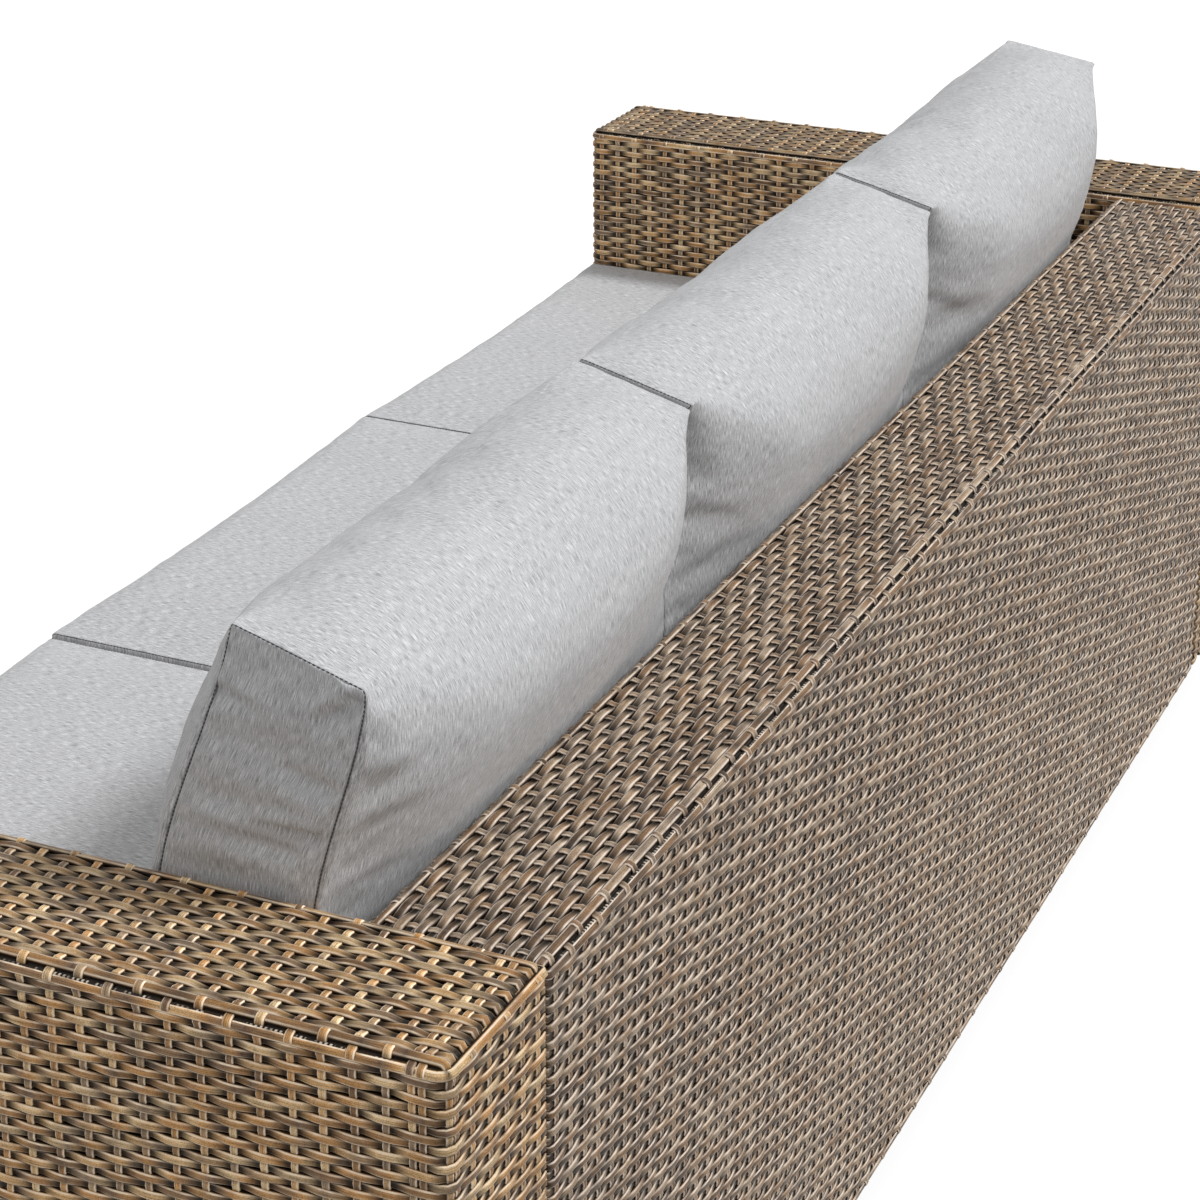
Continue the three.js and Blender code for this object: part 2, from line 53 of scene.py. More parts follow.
# Camera, for a square picture 1200 pixels wide
IMAGE_SIDE = 1200
SENSOR_WIDTH = 36.0
FOCAL_PIXELS = 2982.5
CENTRE_ROW = 456
CAMERA_PLACE = (2.361, 1.101, 1.593)
CAMERA_YAW = 24.51
CAMERA_PITCH = 21.42

# Light, at a level where a colour renders about as it is written: for each lamp its strength, its spread in
# degrees and where it comes from
WORLD_STRENGTH = 0.43
BACKGROUND_STRENGTH = 1.02
LAMPS = {"key": (2.2, 10, (-0.40, 0.85, 1.0)), "fill": (0.32, 50, (1.0, -0.1, 1.2))}
FLOOR_SIDE = 60
FLOOR_COLOUR = (0.30, 0.30, 0.30)
FLOOR_GLOW = 0.76

# Strands: half widths and thickness
WEFT_HALF = 0.0037
TOP_WEFT_HALF = 0.0042
WARP_HALF = 0.0036
BORDER_HALF = 0.0041
LOW_BORDER_HALF = 0.0032
DECK_WEFT_HALF = 0.0052
CORE_HALF = 0.0014
STRAND_DEPTH = 0.0020

# The dark lining, painted shade seen in the gaps: how deep it lies under the strands' crests, its wall
# and lip, the ends and the corner of the seat's sheets, and heights that count as the same
LINING_DEPTH = 0.0039
LINING_WALL = 0.0002
LINING_LIP = 0.014
SHEET_INSET = 0.002
SHEET_CORNER = 0.004
TOUCHING = 0.0001

# Pitches of the weave
ROW_PITCH = 0.0065
TOP_ROW_PITCH = 0.0077
DECK_ROW_PITCH = 0.0097
WARP_PITCH = 0.0216

# Heights of the strands' crests, measured out from the woven surface
WEFT_CREST = 0.0
WEFT_TROUGH = -0.0022
WARP_CREST = -0.0005
WARP_TROUGH = -0.0019
BORDER_CREST = -0.0003
BORDER_DEPTH = 0.0025
BORDER_LEAN = 0.35
WRAP_CREST = 0.0013
WRAP_TROUGH = -0.0023
WRAP_SPREAD = 0.16
TUCK = -0.0024
TUCK_LENGTH = 0.005

# Wander of the strands, as lengths and sizes of waves, and the spread of their breadths
WEFT_LIFTS = ((0.07, 0.00012), (0.03, 0.00010))
WEFT_SWAYS = ((0.31, 0.00035), (0.11, 0.00028), (0.05, 0.00018))
WARP_SWAYS = ((0.45, 0.0006), (0.16, 0.0003))
BORDER_SWAYS = ((0.5, 0.0002), (0.17, 0.00015))
ROW_SWAY, ROW_WAVE, ROW_PHASE = 0.0004, 0.43, 17
WEFT_BREADTHS = (0.93, 1.05)
WARP_BREADTHS = (0.92, 1.05)
CREST_BREADTH = 0.08

# Places near edges
EDGE_RADIUS = 0.010
CORNER_RADIUS = 0.012
SEAM_RADIUS = 0.004
BORDER_SHIFT = 0.0021
SLOT_REACH = 0.0062
TURN_IN = 0.014
HANG = 0.02
TOP_TURN_DOWN = 0.03
BOTTOM_MARGIN = 0.0045
LOW_BORDER_MARGIN = 0.0037
PAIR_GAP = 0.0078
CORNER_SINK = 0.0006
CORE_DEPTH = 0.0020
CORE_INSET = 0.011
BACK_GAP = 0.0015
BACK_MARGIN = 0.003
DECK_MARGIN = 0.004

# Distances of the outermost warps from the corners of each face, and on the arms' end faces those of the
# first, the last but one and the last
LONG_INSET = 0.011
SIDE_INSET = 0.0225
END_INSETS = (0.014, 0.033, 0.009)
INNER_INSETS = (0.0165, 0.009)

# Sampling of the strands
WEFT_STEPS = 4
WARP_STEPS = 2
BORDER_STEP = 0.012
ARC_STEPS = 6
ALONG_SPREAD = 40.0

# The half-round cross-section: shares of the half width, and of the depth below the crest
RING_SHARES = np.array([-1.0, -0.60, 0.60, 1.0])
RING_DROPS = np.array([0.96, 0.04, 0.04, 0.96])
FLAT_SHARE = 0.72

# Cushions: how the cloth is cut and swelled, and how its seams are sewn
SEAM_LINES = (0.0014, 0.0036, 0.008, 0.014, 0.021)
CLOTH_STEP = 0.012
CLOTH_ROW = 0.008
CLOTH_FRAMES = 20
CLOTH_QUALITY = 5
CLOTH_PRESSURE = 2.0
CLOTH_BENDING = 0.5
CLOTH_ROUGHNESS = 0.0004
SEAT_SLACK = (0.0005, 0.006)
BACK_SLACK = (0.010, 0.045)
SEWN_REACH = 0.03
EASE_ROUNDS = 40
LEAST_CAP = 0.0003
FOLD_CAP = 0.0040
FOLD_FULL_AT = 0.016
PANEL_CAP = 0.007
PANEL_FULL_AT = 0.035
SEAT_CAP = 0.004
BACK_CAP = 0.014
TURN_SHARE = 0.5
CORNER_LIFT = 0.35
END_ROUNDING = 0.004
SEAM_REACH = 0.0008
SEAM_SINK = 0.0016
PIECE_GAP = 0.02
STITCH_PITCH = 0.0034
STITCH_LENGTH = 0.0022
STITCH_RADIUS = 0.00045
STITCH_LIFT = 0.0004
STITCH_RINGS = ((0.0, 0.3), (0.18, 1.0), (0.82, 1.0), (1.0, 0.3))
FOLD_FADES = (0.15, 0.6)
RIDGE_SHARE = 0.7
RIDGE_PLACE = 1.1
FABRIC_COLOUR = (0.563, 0.567, 0.580)
# Painted shade along the cushions' sewn edges
SEAM_SHADE_COLOUR = (0.040, 0.040, 0.044)

# Roundings of the top front, top rear and low edges; crowns at the front, at the rear and on top; and how far
# from the ends the fabric turns and is full
SEAT_ROUNDINGS = (0.008, 0.008, 0.008)
BACK_ROUNDINGS = (0.028, 0.055, 0.030)
SEAT_CROWNS = (0.004, 0.0, 0.005)
BACK_CROWNS = (0.041, 0.034, 0.014)
SEAT_REACHES = (0.010, 0.06)
BACK_REACHES = (0.050, 0.13)

# Room of the cushions around their solids' boxes, past the low corner and past the high one
SEAT_SEAM_RISE = 0.004
SEAT_ROOM = ((-0.001, -0.007, 0.0016), (0.001, 0.0015, 0.018))
BACK_ROOM = ((-0.03, -0.012, 0.0003), (0.03, 0.050, 0.030))
END_ROOM = 0.001
BULGES = ((0.012, 0.0), (0.0, 0.0), (0.0, 0.012))
BULGE_ABOVE_ARM = 0.004
BULGE_RISE = 0.03

# Where a back cushion presses on the seat, and the height and width of the step there
SEAT_PRESSED_FROM = 0.090
SEAT_PRESS = 0.0012
PRESS_STEP = 0.02
PRESS_WIDTH = 0.05

# Where the back cushions touch the woven back, and how far past it they may bulge above its top edge
BACK_TOUCH = 0.0006
BACK_CLEAR = 0.012
BACK_CLEAR_WIDTH = 0.020
BACK_OVERHANG = 0.1

# Fill shares, handed to each cushion's make
SEAT_FILL = 0.85
BACK_FILL = 0.8

# How far the seat cushions' tops rise at their right and left ends
SEAT_RISES = ((0.010, 0.009), (0.010, 0.000), (-0.003, -0.006))

# Section of the back cushions, as reaches forward of the woven back, and heights
TOP_FRONT_REACH = 0.126
TOP_REAR_REACH = 0.023
LOW_FRONT_REACH = 0.184
LOW_REAR_REACH = 0.054
TOP_FRONT_Z = 0.786
TOP_REAR_Z = 0.764

# How far the top corners of each back cushion lie back and up from the section: for its right and its left
# end, first the front corner and then the rear one
LEANS = (
    (((-0.009, 0.001), (-0.006, 0.006)), ((0.001, 0.0), (0.0, -0.003))),
    (((0.0, 0.0), (0.0, -0.006)), ((0.002, 0.0), (0.0, -0.004))),
    (((0.0, 0.0), (0.0, -0.006)), ((0.036, 0.021), (0.030, 0.014))),
)
LEAN_START = 0.5

# How far the rear sewn edges of the back cushions are drawn in at their right and left ends
PINCHES = ((0.024, 0.034), (0.024, 0.034), (0.024, 0.0))

# Creases of the back cushions: on the end panel as Y and Z, on the rear face as X and Z, with depth and
# breadth
FOLDS = (
    (("rear", (-0.31, 0.66), (-0.40, 0.63), 0.003, 0.011),),
    (("rear", (0.29, 0.66), (0.20, 0.63), 0.003, 0.011),),
    (
        ("end", (0.240, 0.664), (0.165, 0.668), 0.0075, 0.0065),
        ("end", (0.226, 0.648), (0.120, 0.662), 0.0065, 0.0085),
        ("end", (0.250, 0.700), (0.195, 0.715), 0.0045, 0.0080),
        ("end", (0.271, 0.772), (0.228, 0.742), 0.0075, 0.0075),
        ("end", (0.158, 0.757), (0.205, 0.748), 0.0055, 0.0080),
        ("rear", (0.885, 0.700), (0.820, 0.715), 0.0018, 0.010),
        ("rear", (0.885, 0.670), (0.800, 0.665), 0.0020, 0.011),
        ("rear", (0.32, 0.66), (0.40, 0.64), 0.0040, 0.011),
    ),
)

XY, XZ, YZ = (0, 1), (0, 2), (1, 2)


def unit(v):
    return v / np.maximum(np.linalg.norm(v, axis=-1, keepdims=True), 1e-12)


def smooth(share):
    share = np.clip(share, 0, 1)
    return share * share * (3 - 2 * share)


def between(a, b, share):
    return a * (1 - share) + b * share


class Route:
    """A path in a plane with rounded corners, measured along its length. Its outer side lies to the left,
    or to the right where hand is -1."""

    def __init__(self, corners, radii, hand=1):
        points = np.array(corners, float)
        self.parts = []
        self.face_starts = [0.0]
        self.face_ends = []
        self.hand = hand
        at, travelled = points[0], 0.0
        for i, radius in enumerate(radii, start=1):
            before, after = unit(points[i] - points[i - 1]), unit(points[i + 1] - points[i])
            turn = math.atan2(before[0] * after[1] - before[1] * after[0], before @ after)
            reach = radius * math.tan(abs(turn) / 2)
            stop = points[i] - before * reach
            self.parts.append((travelled, at, before, 0.0, 0.0))
            travelled += float(np.linalg.norm(stop - at))
            self.face_ends.append(travelled + reach)
            self.parts.append((travelled, stop, before, radius, turn))
            travelled += radius * abs(turn)
            self.face_starts.append(travelled - reach)
            at = points[i] + after * reach
        self.parts.append((travelled, at, unit(points[-1] - points[-2]), 0.0, 0.0))
        self.length = travelled + float(np.linalg.norm(points[-1] - at))
        self.face_ends.append(self.length)

    def after(self, face, distance):
        """The place this far past the corner where a face starts."""
        return self.face_starts[face] + distance

    def before(self, face, distance):
        """The place this far before the corner where a face ends."""
        return self.face_ends[face] - distance

    def arcs(self):
        """The start and end places of every rounded corner."""
        return [(start, start + radius * abs(turn)) for start, _, _, radius, turn in self.parts if radius]

    def at(self, places):
        """Points and outward directions at these places along the route."""
        places = np.asarray(places, float)
        points = np.zeros(places.shape + (2,))
        outward = np.zeros(places.shape + (2,))
        for index, (start, origin, direction, radius, turn) in enumerate(self.parts):
            inside = places >= start - 1e-9 if index else np.ones(places.shape, bool)
            step = places[inside] - start
            left = np.array([-direction[1], direction[0]])
            if radius:
                way = math.copysign(1, turn)
                angle = step / radius * way
                side = left * np.cos(angle)[:, None] - direction * np.sin(angle)[:, None]
                points[inside] = origin + left * radius * way - side * radius * way
                outward[inside] = side
            else:
                points[inside] = origin + direction * step[:, None]
                outward[inside] = left
        return points, outward * self.hand


def turned_in(start, end, level, inward, hand=1, radius=SEAM_RADIUS):
    """A straight route at this level, with both ends turned in."""
    corners = [(start, level + inward), (start, level), (end, level), (end, level + inward)]
    return Route(corners, [radius, radius], hand)


def lay(points, outward, plane, third, side):
    """Carries a path in a plane into space. third holds the places across the plane, one row for each strand,
    and side is -1 for the mirrored end of the sofa."""
    place = np.zeros(third.shape + (3,))
    normal = np.zeros_like(place)
    for k, axis in enumerate(plane):
        place[..., axis], normal[..., axis] = points[:, k], outward[:, k]
    place[..., 3 - sum(plane)] = third
    return place * (side, 1, 1), normal * (side, 1, 1)


def stand(points, outward, base, side):
    """Carries a profile, as distances out and heights, and its outward directions to every base point of the
    plan and its normal."""
    spot, normal = base
    place = np.zeros((len(spot), len(points), 3))
    way = np.zeros_like(place)
    place[..., :2] = spot[:, None, :] + normal[:, None, :] * points[None, :, :1]
    way[..., :2] = normal[:, None, :] * outward[None, :, :1]
    place[..., 2], way[..., 2] = points[:, 1], outward[:, 1]
    return place * (side, 1, 1), way * (side, 1, 1)


def wander(rng, count, places, waves):
    """A gentle random wander for each strand, sampled at the places along it."""
    total = np.zeros((count, len(places)))
    for wavelength, size in waves:
        phase = rng.uniform(0, math.tau, (count, 1))
        stretch = rng.uniform(0.8, 1.25, (count, 1))
        total += size * np.sin(math.tau * places[None, :] / wavelength * stretch + phase)
    return total


def wave(phase):
    """From 1 over a crossing to -1 under the next, flat near both."""
    c = np.cos(math.pi * phase)
    return np.sign(c) * np.abs(c) ** FLAT_SHARE


def samples(crossings, steps, start, end, fine=()):
    """Places from start to end with steps to each gap between crossings, and the run of crossings at each.
    The gaps beside the crossings in fine get twice the steps."""
    crossings = np.asarray(crossings, float)
    count = len(crossings)
    first_run = (start - crossings[0]) / (crossings[1] - crossings[0])
    last_run = count - 1 + (end - crossings[-1]) / (crossings[-1] - crossings[-2])
    known_run = np.concatenate([[first_run], np.arange(count), [last_run]])
    known_place = np.concatenate([[start], crossings, [end]])
    grid = np.arange(math.ceil(first_run * steps), math.floor(last_run * steps) + 1) / steps
    beside = np.arange(1 - 2 * steps, 2 * steps, 2) / (2 * steps)
    grid = np.unique(np.concatenate([grid, *(crossing + beside for crossing in fine)]))
    grid = grid[(grid > first_run + 0.35 / steps) & (grid < last_run - 0.35 / steps)]
    run = np.concatenate([[first_run], grid, [last_run]])
    return np.interp(run, known_run, known_place), run


def tucked(height, places, ends):
    """Sinks the free ends of strands where ends says so for the start and for the end."""
    for sinks, distance in zip(ends, (places - places[0], places[-1] - places)):
        if sinks:
            height = between(TUCK, height, smooth(distance / TUCK_LENGTH))
    return height


def evenly(start, end, pitch):
    """Places from start to end, as near to the pitch as a whole number of gaps allows."""
    return np.linspace(start, end, max(1, round(abs(end - start) / pitch)) + 1)


def paired(places, doubled):
    """Places of the warps at these crossings, doubled ones beside each other, and each one's crossing."""
    spots, index = [], []
    for i, place in enumerate(places):
        shifts = (-PAIR_GAP / 2, PAIR_GAP / 2) if i in doubled else (0.0,)
        spots += [place + shift for shift in shifts]
        index += [i] * len(shifts)
    return np.array(spots), np.array(index)


def tube_quads(index):
    """Quads of closed strands whose points are numbered as index says: strand, ring, place on the ring."""
    following = np.roll(index, -1, axis=2)
    sides = np.stack([index[:, :-1], following[:, :-1], following[:, 1:], index[:, 1:]], axis=-1)
    return [sides.reshape(-1, 4), index[:, 0, ::-1], index[:, -1, :]]


class Strands:
    """Closed half-round strands gathered into one piece, with the attributes that their material reads."""

    def __init__(self, name, seed, *nodes, side=1):
        self.name = name
        self.nodes = nodes
        self.side = side
        self.rng = np.random.default_rng(seed)
        self.blocks = []

    def add(self, crest, outward, half, lift, depth=STRAND_DEPTH):
        """crest and outward hold points for each strand, half its half width and lift how far it stands over
        the others at each, from 0 to 1."""
        count = len(crest)
        along = unit(np.gradient(crest, axis=1))
        outward = unit(outward - along * (along * outward).sum(-1, keepdims=True))
        across = np.cross(along, outward)
        ring = (
            crest[:, :, None, :]
            + across[:, :, None, :] * (half[:, :, None] * RING_SHARES)[..., None]
            - outward[:, :, None, :] * (depth * RING_DROPS)[:, None]
        )
        steps = np.linalg.norm(np.diff(crest, axis=1), axis=-1)
        distance = np.concatenate([np.zeros((count, 1)), np.cumsum(steps, axis=1)], axis=1)
        tone, offset = self.rng.random(count), self.rng.uniform(0, ALONG_SPREAD, count)
        self.blocks.append((ring, distance, tone, offset, lift))

    def wefts(self, route, plane, crossings, rows, parity, half=WEFT_HALF, span=None, ends=(False, False)):
        """Strands along the route, one for each row, over and under its crossings in turn."""
        start, end = span or (0.0, route.length)
        rows = np.asarray(rows, float)
        count = len(rows)
        places, run = samples(crossings, WEFT_STEPS, start, end)
        points, outward = route.at(places)
        over = wave(run[None, :] + parity + np.arange(count)[:, None])
        height = WEFT_TROUGH + (WEFT_CREST - WEFT_TROUGH) * (over + 1) / 2
        height += wander(self.rng, count, places, WEFT_LIFTS)
        height = tucked(height, places, ends)
        sway = wander(self.rng, count, places, WEFT_SWAYS)
        sway += ROW_SWAY * np.sin(math.tau * places[None, :] / ROW_WAVE + rows[:, None] * ROW_PHASE)
        position, normal = lay(points, outward, plane, rows[:, None] + sway, self.side)
        breadth = half * (1 + CREST_BREADTH * over) * self.rng.uniform(*WEFT_BREADTHS, (count, 1))
        self.add(position + normal * height[..., None], normal, breadth, (over + 1) / 2)

    def warps(self, profile, rows, borders, base, parities, span=None, ends=(False, True), sunk=0.0):
        """Strands that stand at the base points and follow the profile, over and under its rows in turn.
        borders are the indexes of the straight rows, which they wrap more fully."""
        start, end = span or (0.0, profile.length)
        places, run = samples(rows, WARP_STEPS, start, end, borders)
        over = wave(run[None, :] + np.asarray(parities)[:, None] + 1)
        count = len(over)
        wrap = np.zeros(len(places))
        for row in borders:
            wrap = np.maximum(wrap, np.clip(1 - np.abs(run - row), 0, 1))
        wrap = smooth(wrap * 2)
        crest = WARP_CREST + (WRAP_CREST - WARP_CREST) * wrap
        trough = WARP_TROUGH + (WRAP_TROUGH - WARP_TROUGH) * wrap
        height = tucked(trough + (crest - trough) * (over + 1) / 2 - sunk, places, ends)
        position, normal = stand(*profile.at(places), base, self.side)
        sideways = unit(np.cross(np.gradient(position, axis=1), normal))
        sway = wander(self.rng, count, places, WARP_SWAYS)
        breadth = WARP_HALF * (1 + WRAP_SPREAD * wrap) * self.rng.uniform(*WARP_BREADTHS, (count, 1))
        crest_points = position + normal * height[..., None] + sideways * sway[..., None]
        self.add(crest_points, normal, breadth, (over + 1) / 2)

    def border(self, route, plane, place, half=BORDER_HALF, crest=BORDER_CREST, depth=BORDER_DEPTH,
               lean=(0, 0, 0), span=None, ends=(False, False)):
        """One straight strand along the route, turned a little towards lean."""
        start, end = span or (0.0, route.length)
        places = [np.linspace(start, end, max(3, int((end - start) / BORDER_STEP)))]
        places += [np.linspace(*arc, ARC_STEPS) for arc in route.arcs()]
        places = np.unique(np.concatenate(places).round(5))
        places = places[(places >= start) & (places <= end)]
        points, outward = route.at(places)
        height = tucked(np.full((1, len(places)), crest), places, ends)
        sway = wander(self.rng, 1, places, BORDER_SWAYS)
        position, normal = lay(points, outward, plane, place + sway, self.side)
        turned = normal + np.array(lean) * (self.side, 1, 1)
        full = np.full(height.shape, 1.0)
        self.add(position + normal * height[..., None], turned, full * half, full, depth)

    def high_border(self, route, top):
        """The border just below a top's rounded edge."""
        self.border(route, XY, top - EDGE_RADIUS + BORDER_SHIFT, lean=(0, 0, BORDER_LEAN))

    def low_border(self, route, bottom):
        """The narrow border along a bottom edge."""
        self.border(route, XY, bottom + LOW_BORDER_MARGIN, half=LOW_BORDER_HALF)

    def fill_slots(self, ends, plane, top, outer, inner, hand=1):
        """Thin strands deep in the slots along a top's outer and inner edges, which carry the slots' painted
        shade and painted glints.
        """
        sunk = EDGE_RADIUS * (1 - math.sin(math.pi / 4))
        route = Route([(end, top - sunk) for end in ends], [], hand)
        for place in (outer - sunk, inner + sunk):
            self.border(route, plane, place, half=CORE_HALF, crest=-CORE_DEPTH, depth=CORE_HALF)

    def make(self, material):
        """Builds the piece and lets it stand for its CAD nodes."""
        verts, quads, maps, values = [], [], [], []
        strips = sum(len(block[0]) for block in self.blocks)
        longest = max(block[1].max() for block in self.blocks)
        base = done = 0
        for ring, distance, tone, offset, lift in self.blocks:
            count, points = ring.shape[:2]
            quads += tube_quads(base + np.arange(count * points * 4).reshape(count, points, 4))
            row = (done + np.arange(count)) / strips
            maps += strip_map(row, distance / longest, 1 / strips)
            verts.append(ring.reshape(-1, 3))
            values.append(np.stack([
                np.repeat(tone, points * 4),
                np.repeat((distance + offset[:, None]).ravel(), 4),
                np.tile(RING_SHARES, count * points),
                np.repeat(lift.ravel(), 4),
            ]))
            base += count * points * 4
            done += count
        attributes = dict(zip(("strand", "along", "across", "lift"), np.concatenate(values, axis=1)))
        mesh = quad_mesh(self.name, np.concatenate(verts), np.concatenate(quads), attributes)
        add_map(mesh, "OFBake", np.concatenate(maps))
        dress(self.name, mesh, material, FRAME_BODY, "woven_rattan", *self.nodes)


def strip_map(row, share, height):
    """Map places for the side and end quads of strands that each lie in a strip of their own."""
    step = height / 4.5
    low = np.broadcast_to((row[:, None] + np.arange(4) * step)[:, None, :], share.shape + (4,))
    along = np.broadcast_to(share[:, :, None], low.shape)
    here, there = slice(None, -1), slice(1, None)
    corners = [np.stack([along[:, part], low[:, part] + rise], -1)
               for part, rise in ((here, 0), (here, step), (there, step), (there, 0))]
    sides = np.stack(corners, axis=3).reshape(-1, 2)
    caps = []
    for end, order in ((0, [3, 2, 1, 0]), (-1, [0, 1, 2, 3])):
        breadth = np.array([0.0, 0.1, 0.3, 0.4])[order] * step
        lift = np.array([0.0, 0.002, 0.002, 0.0])[order]
        cap = [share[:, end, None] * 0.98 + lift, (row + 4.02 * step)[:, None] + breadth]
        caps.append(np.stack(np.broadcast_arrays(*cap), -1).reshape(-1, 2))
    return [sides, *caps]


def quad_mesh(name, verts, quads, attributes):
    mesh = bpy.data.meshes.new(name)
    mesh.vertices.add(len(verts))
    mesh.vertices.foreach_set("co", verts.astype(np.float32).ravel())
    mesh.loops.add(len(quads) * 4)
    mesh.loops.foreach_set("vertex_index", quads.astype(np.int32).ravel())
    mesh.polygons.add(len(quads))
    mesh.polygons.foreach_set("loop_start", np.arange(0, len(quads) * 4, 4, dtype=np.int32))
    mesh.polygons.foreach_set("use_smooth", np.ones(len(quads), bool))
    for key, values in attributes.items():
        mesh.attributes.new(key, "FLOAT", "POINT").data.foreach_set("value", values.astype(np.float32))
    mesh.update(calc_edges=True)
    return mesh


def add_map(mesh, name, places):
    mesh.uv_layers.new(name=name).data.foreach_set("uv", places.astype(np.float32).ravel())


def dress(name, mesh, material, body, slot, *nodes):
    """Makes the piece that stands for these CAD nodes."""
    mesh.materials.append(material)
    piece = bpy.data.objects.new(name, mesh)
    bpy.context.scene.collection.objects.link(piece)
    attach(piece, body)
    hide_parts(*nodes)
    return piece


# Materials


class Nodes:
    """Writes the node tree of a material or of the world."""

    def __init__(self, name, blocks=bpy.data.materials, shader="Principled BSDF"):
        self.owner = blocks.new(name)
        self.owner.use_nodes = True
        self.tree = self.owner.node_tree
        self.shader = self.tree.nodes[shader]

    def set(self, socket, value):
        if isinstance(value, bpy.types.NodeSocket):
            self.tree.links.new(value, socket)
        else:
            socket.default_value = value

    def shade(self, name, value):
        self.set(self.shader.inputs[name], value)

    def node(self, kind, inputs, **settings):
        made = self.tree.nodes.new(kind)
        for key, value in settings.items():
            setattr(made, key, value)
        for key, value in inputs.items():
            self.set(made.inputs[key], value)
        return made

    def math(self, operation, value, *others):
        for other in others or (0.0,):
            value = self.node("ShaderNodeMath", {0: value, 1: other}, operation=operation).outputs[0]
        return value

    def plus(self, *terms):
        return self.math("ADD", *terms)

    def times(self, *factors):
        return self.math("MULTIPLY", *factors)

    def attribute(self, name):
        return self.node("ShaderNodeAttribute", {}, attribute_name=name).outputs["Fac"]

    def combine(self, x, y, z):
        return self.node("ShaderNodeCombineXYZ", {"X": x, "Y": y, "Z": z}).outputs[0]

    def noise(self, vector, scale, detail=2.0, roughness=0.5):
        inputs = {"Vector": vector, "Scale": scale, "Detail": detail, "Roughness": roughness}
        return self.node("ShaderNodeTexNoise", inputs).outputs["Fac"]

    def place(self):
        return self.node("ShaderNodeTexCoord", {}).outputs["Object"]

    def stretched(self, vector, scale):
        return self.node("ShaderNodeMapping", {"Vector": vector, "Scale": scale}).outputs[0]

    def ramp(self, factor, stops):
        made = self.node("ShaderNodeValToRGB", {"Fac": factor})
        elements = made.color_ramp.elements
        while len(elements) < len(stops):
            elements.new(0.5)
        for element, (position, colour) in zip(elements, stops):
            element.position = position
            element.color = (*colour, 1)
        return made.outputs["Color"]

    def span(self, value, low, high, to_low=0.0, to_high=1.0):
        inputs = {"Value": value, "From Min": low, "From Max": high, "To Min": to_low, "To Max": to_high}
        return self.node("ShaderNodeMapRange", inputs).outputs["Result"]

    def mix(self, factor, a, b, blend="MIX"):
        made = self.node("ShaderNodeMix", {0: factor}, data_type="RGBA", blend_type=blend)
        for socket, value in ((made.inputs[6], a), (made.inputs[7], b)):
            self.set(socket, value if isinstance(value, bpy.types.NodeSocket) else (*value, 1))
        return made.outputs[2]

    def shaded(self, colour, shade):
        return self.mix(1.0, colour, self.combine(shade, shade, shade), "MULTIPLY")

    def bump(self, height, strength, distance):
        inputs = {"Height": height, "Strength": strength, "Distance": distance}
        self.shade("Normal", self.node("ShaderNodeBump", inputs).outputs["Normal"])

    def mottled(self, mottle, stops, roughness):
        """Lets the colour and the roughness follow this noise."""
        self.shade("Base Color", self.ramp(mottle, stops))
        self.shade("Roughness", self.span(mottle, *roughness))

    def seen(self):
        """1 on the rays of what the camera sees, also in a mirror or through glass."""
        path = self.node("ShaderNodeLightPath", {}).outputs
        return self.math("MAXIMUM", path["Is Camera Ray"], path["Is Transmission Ray"], path["Is Glossy Ray"])


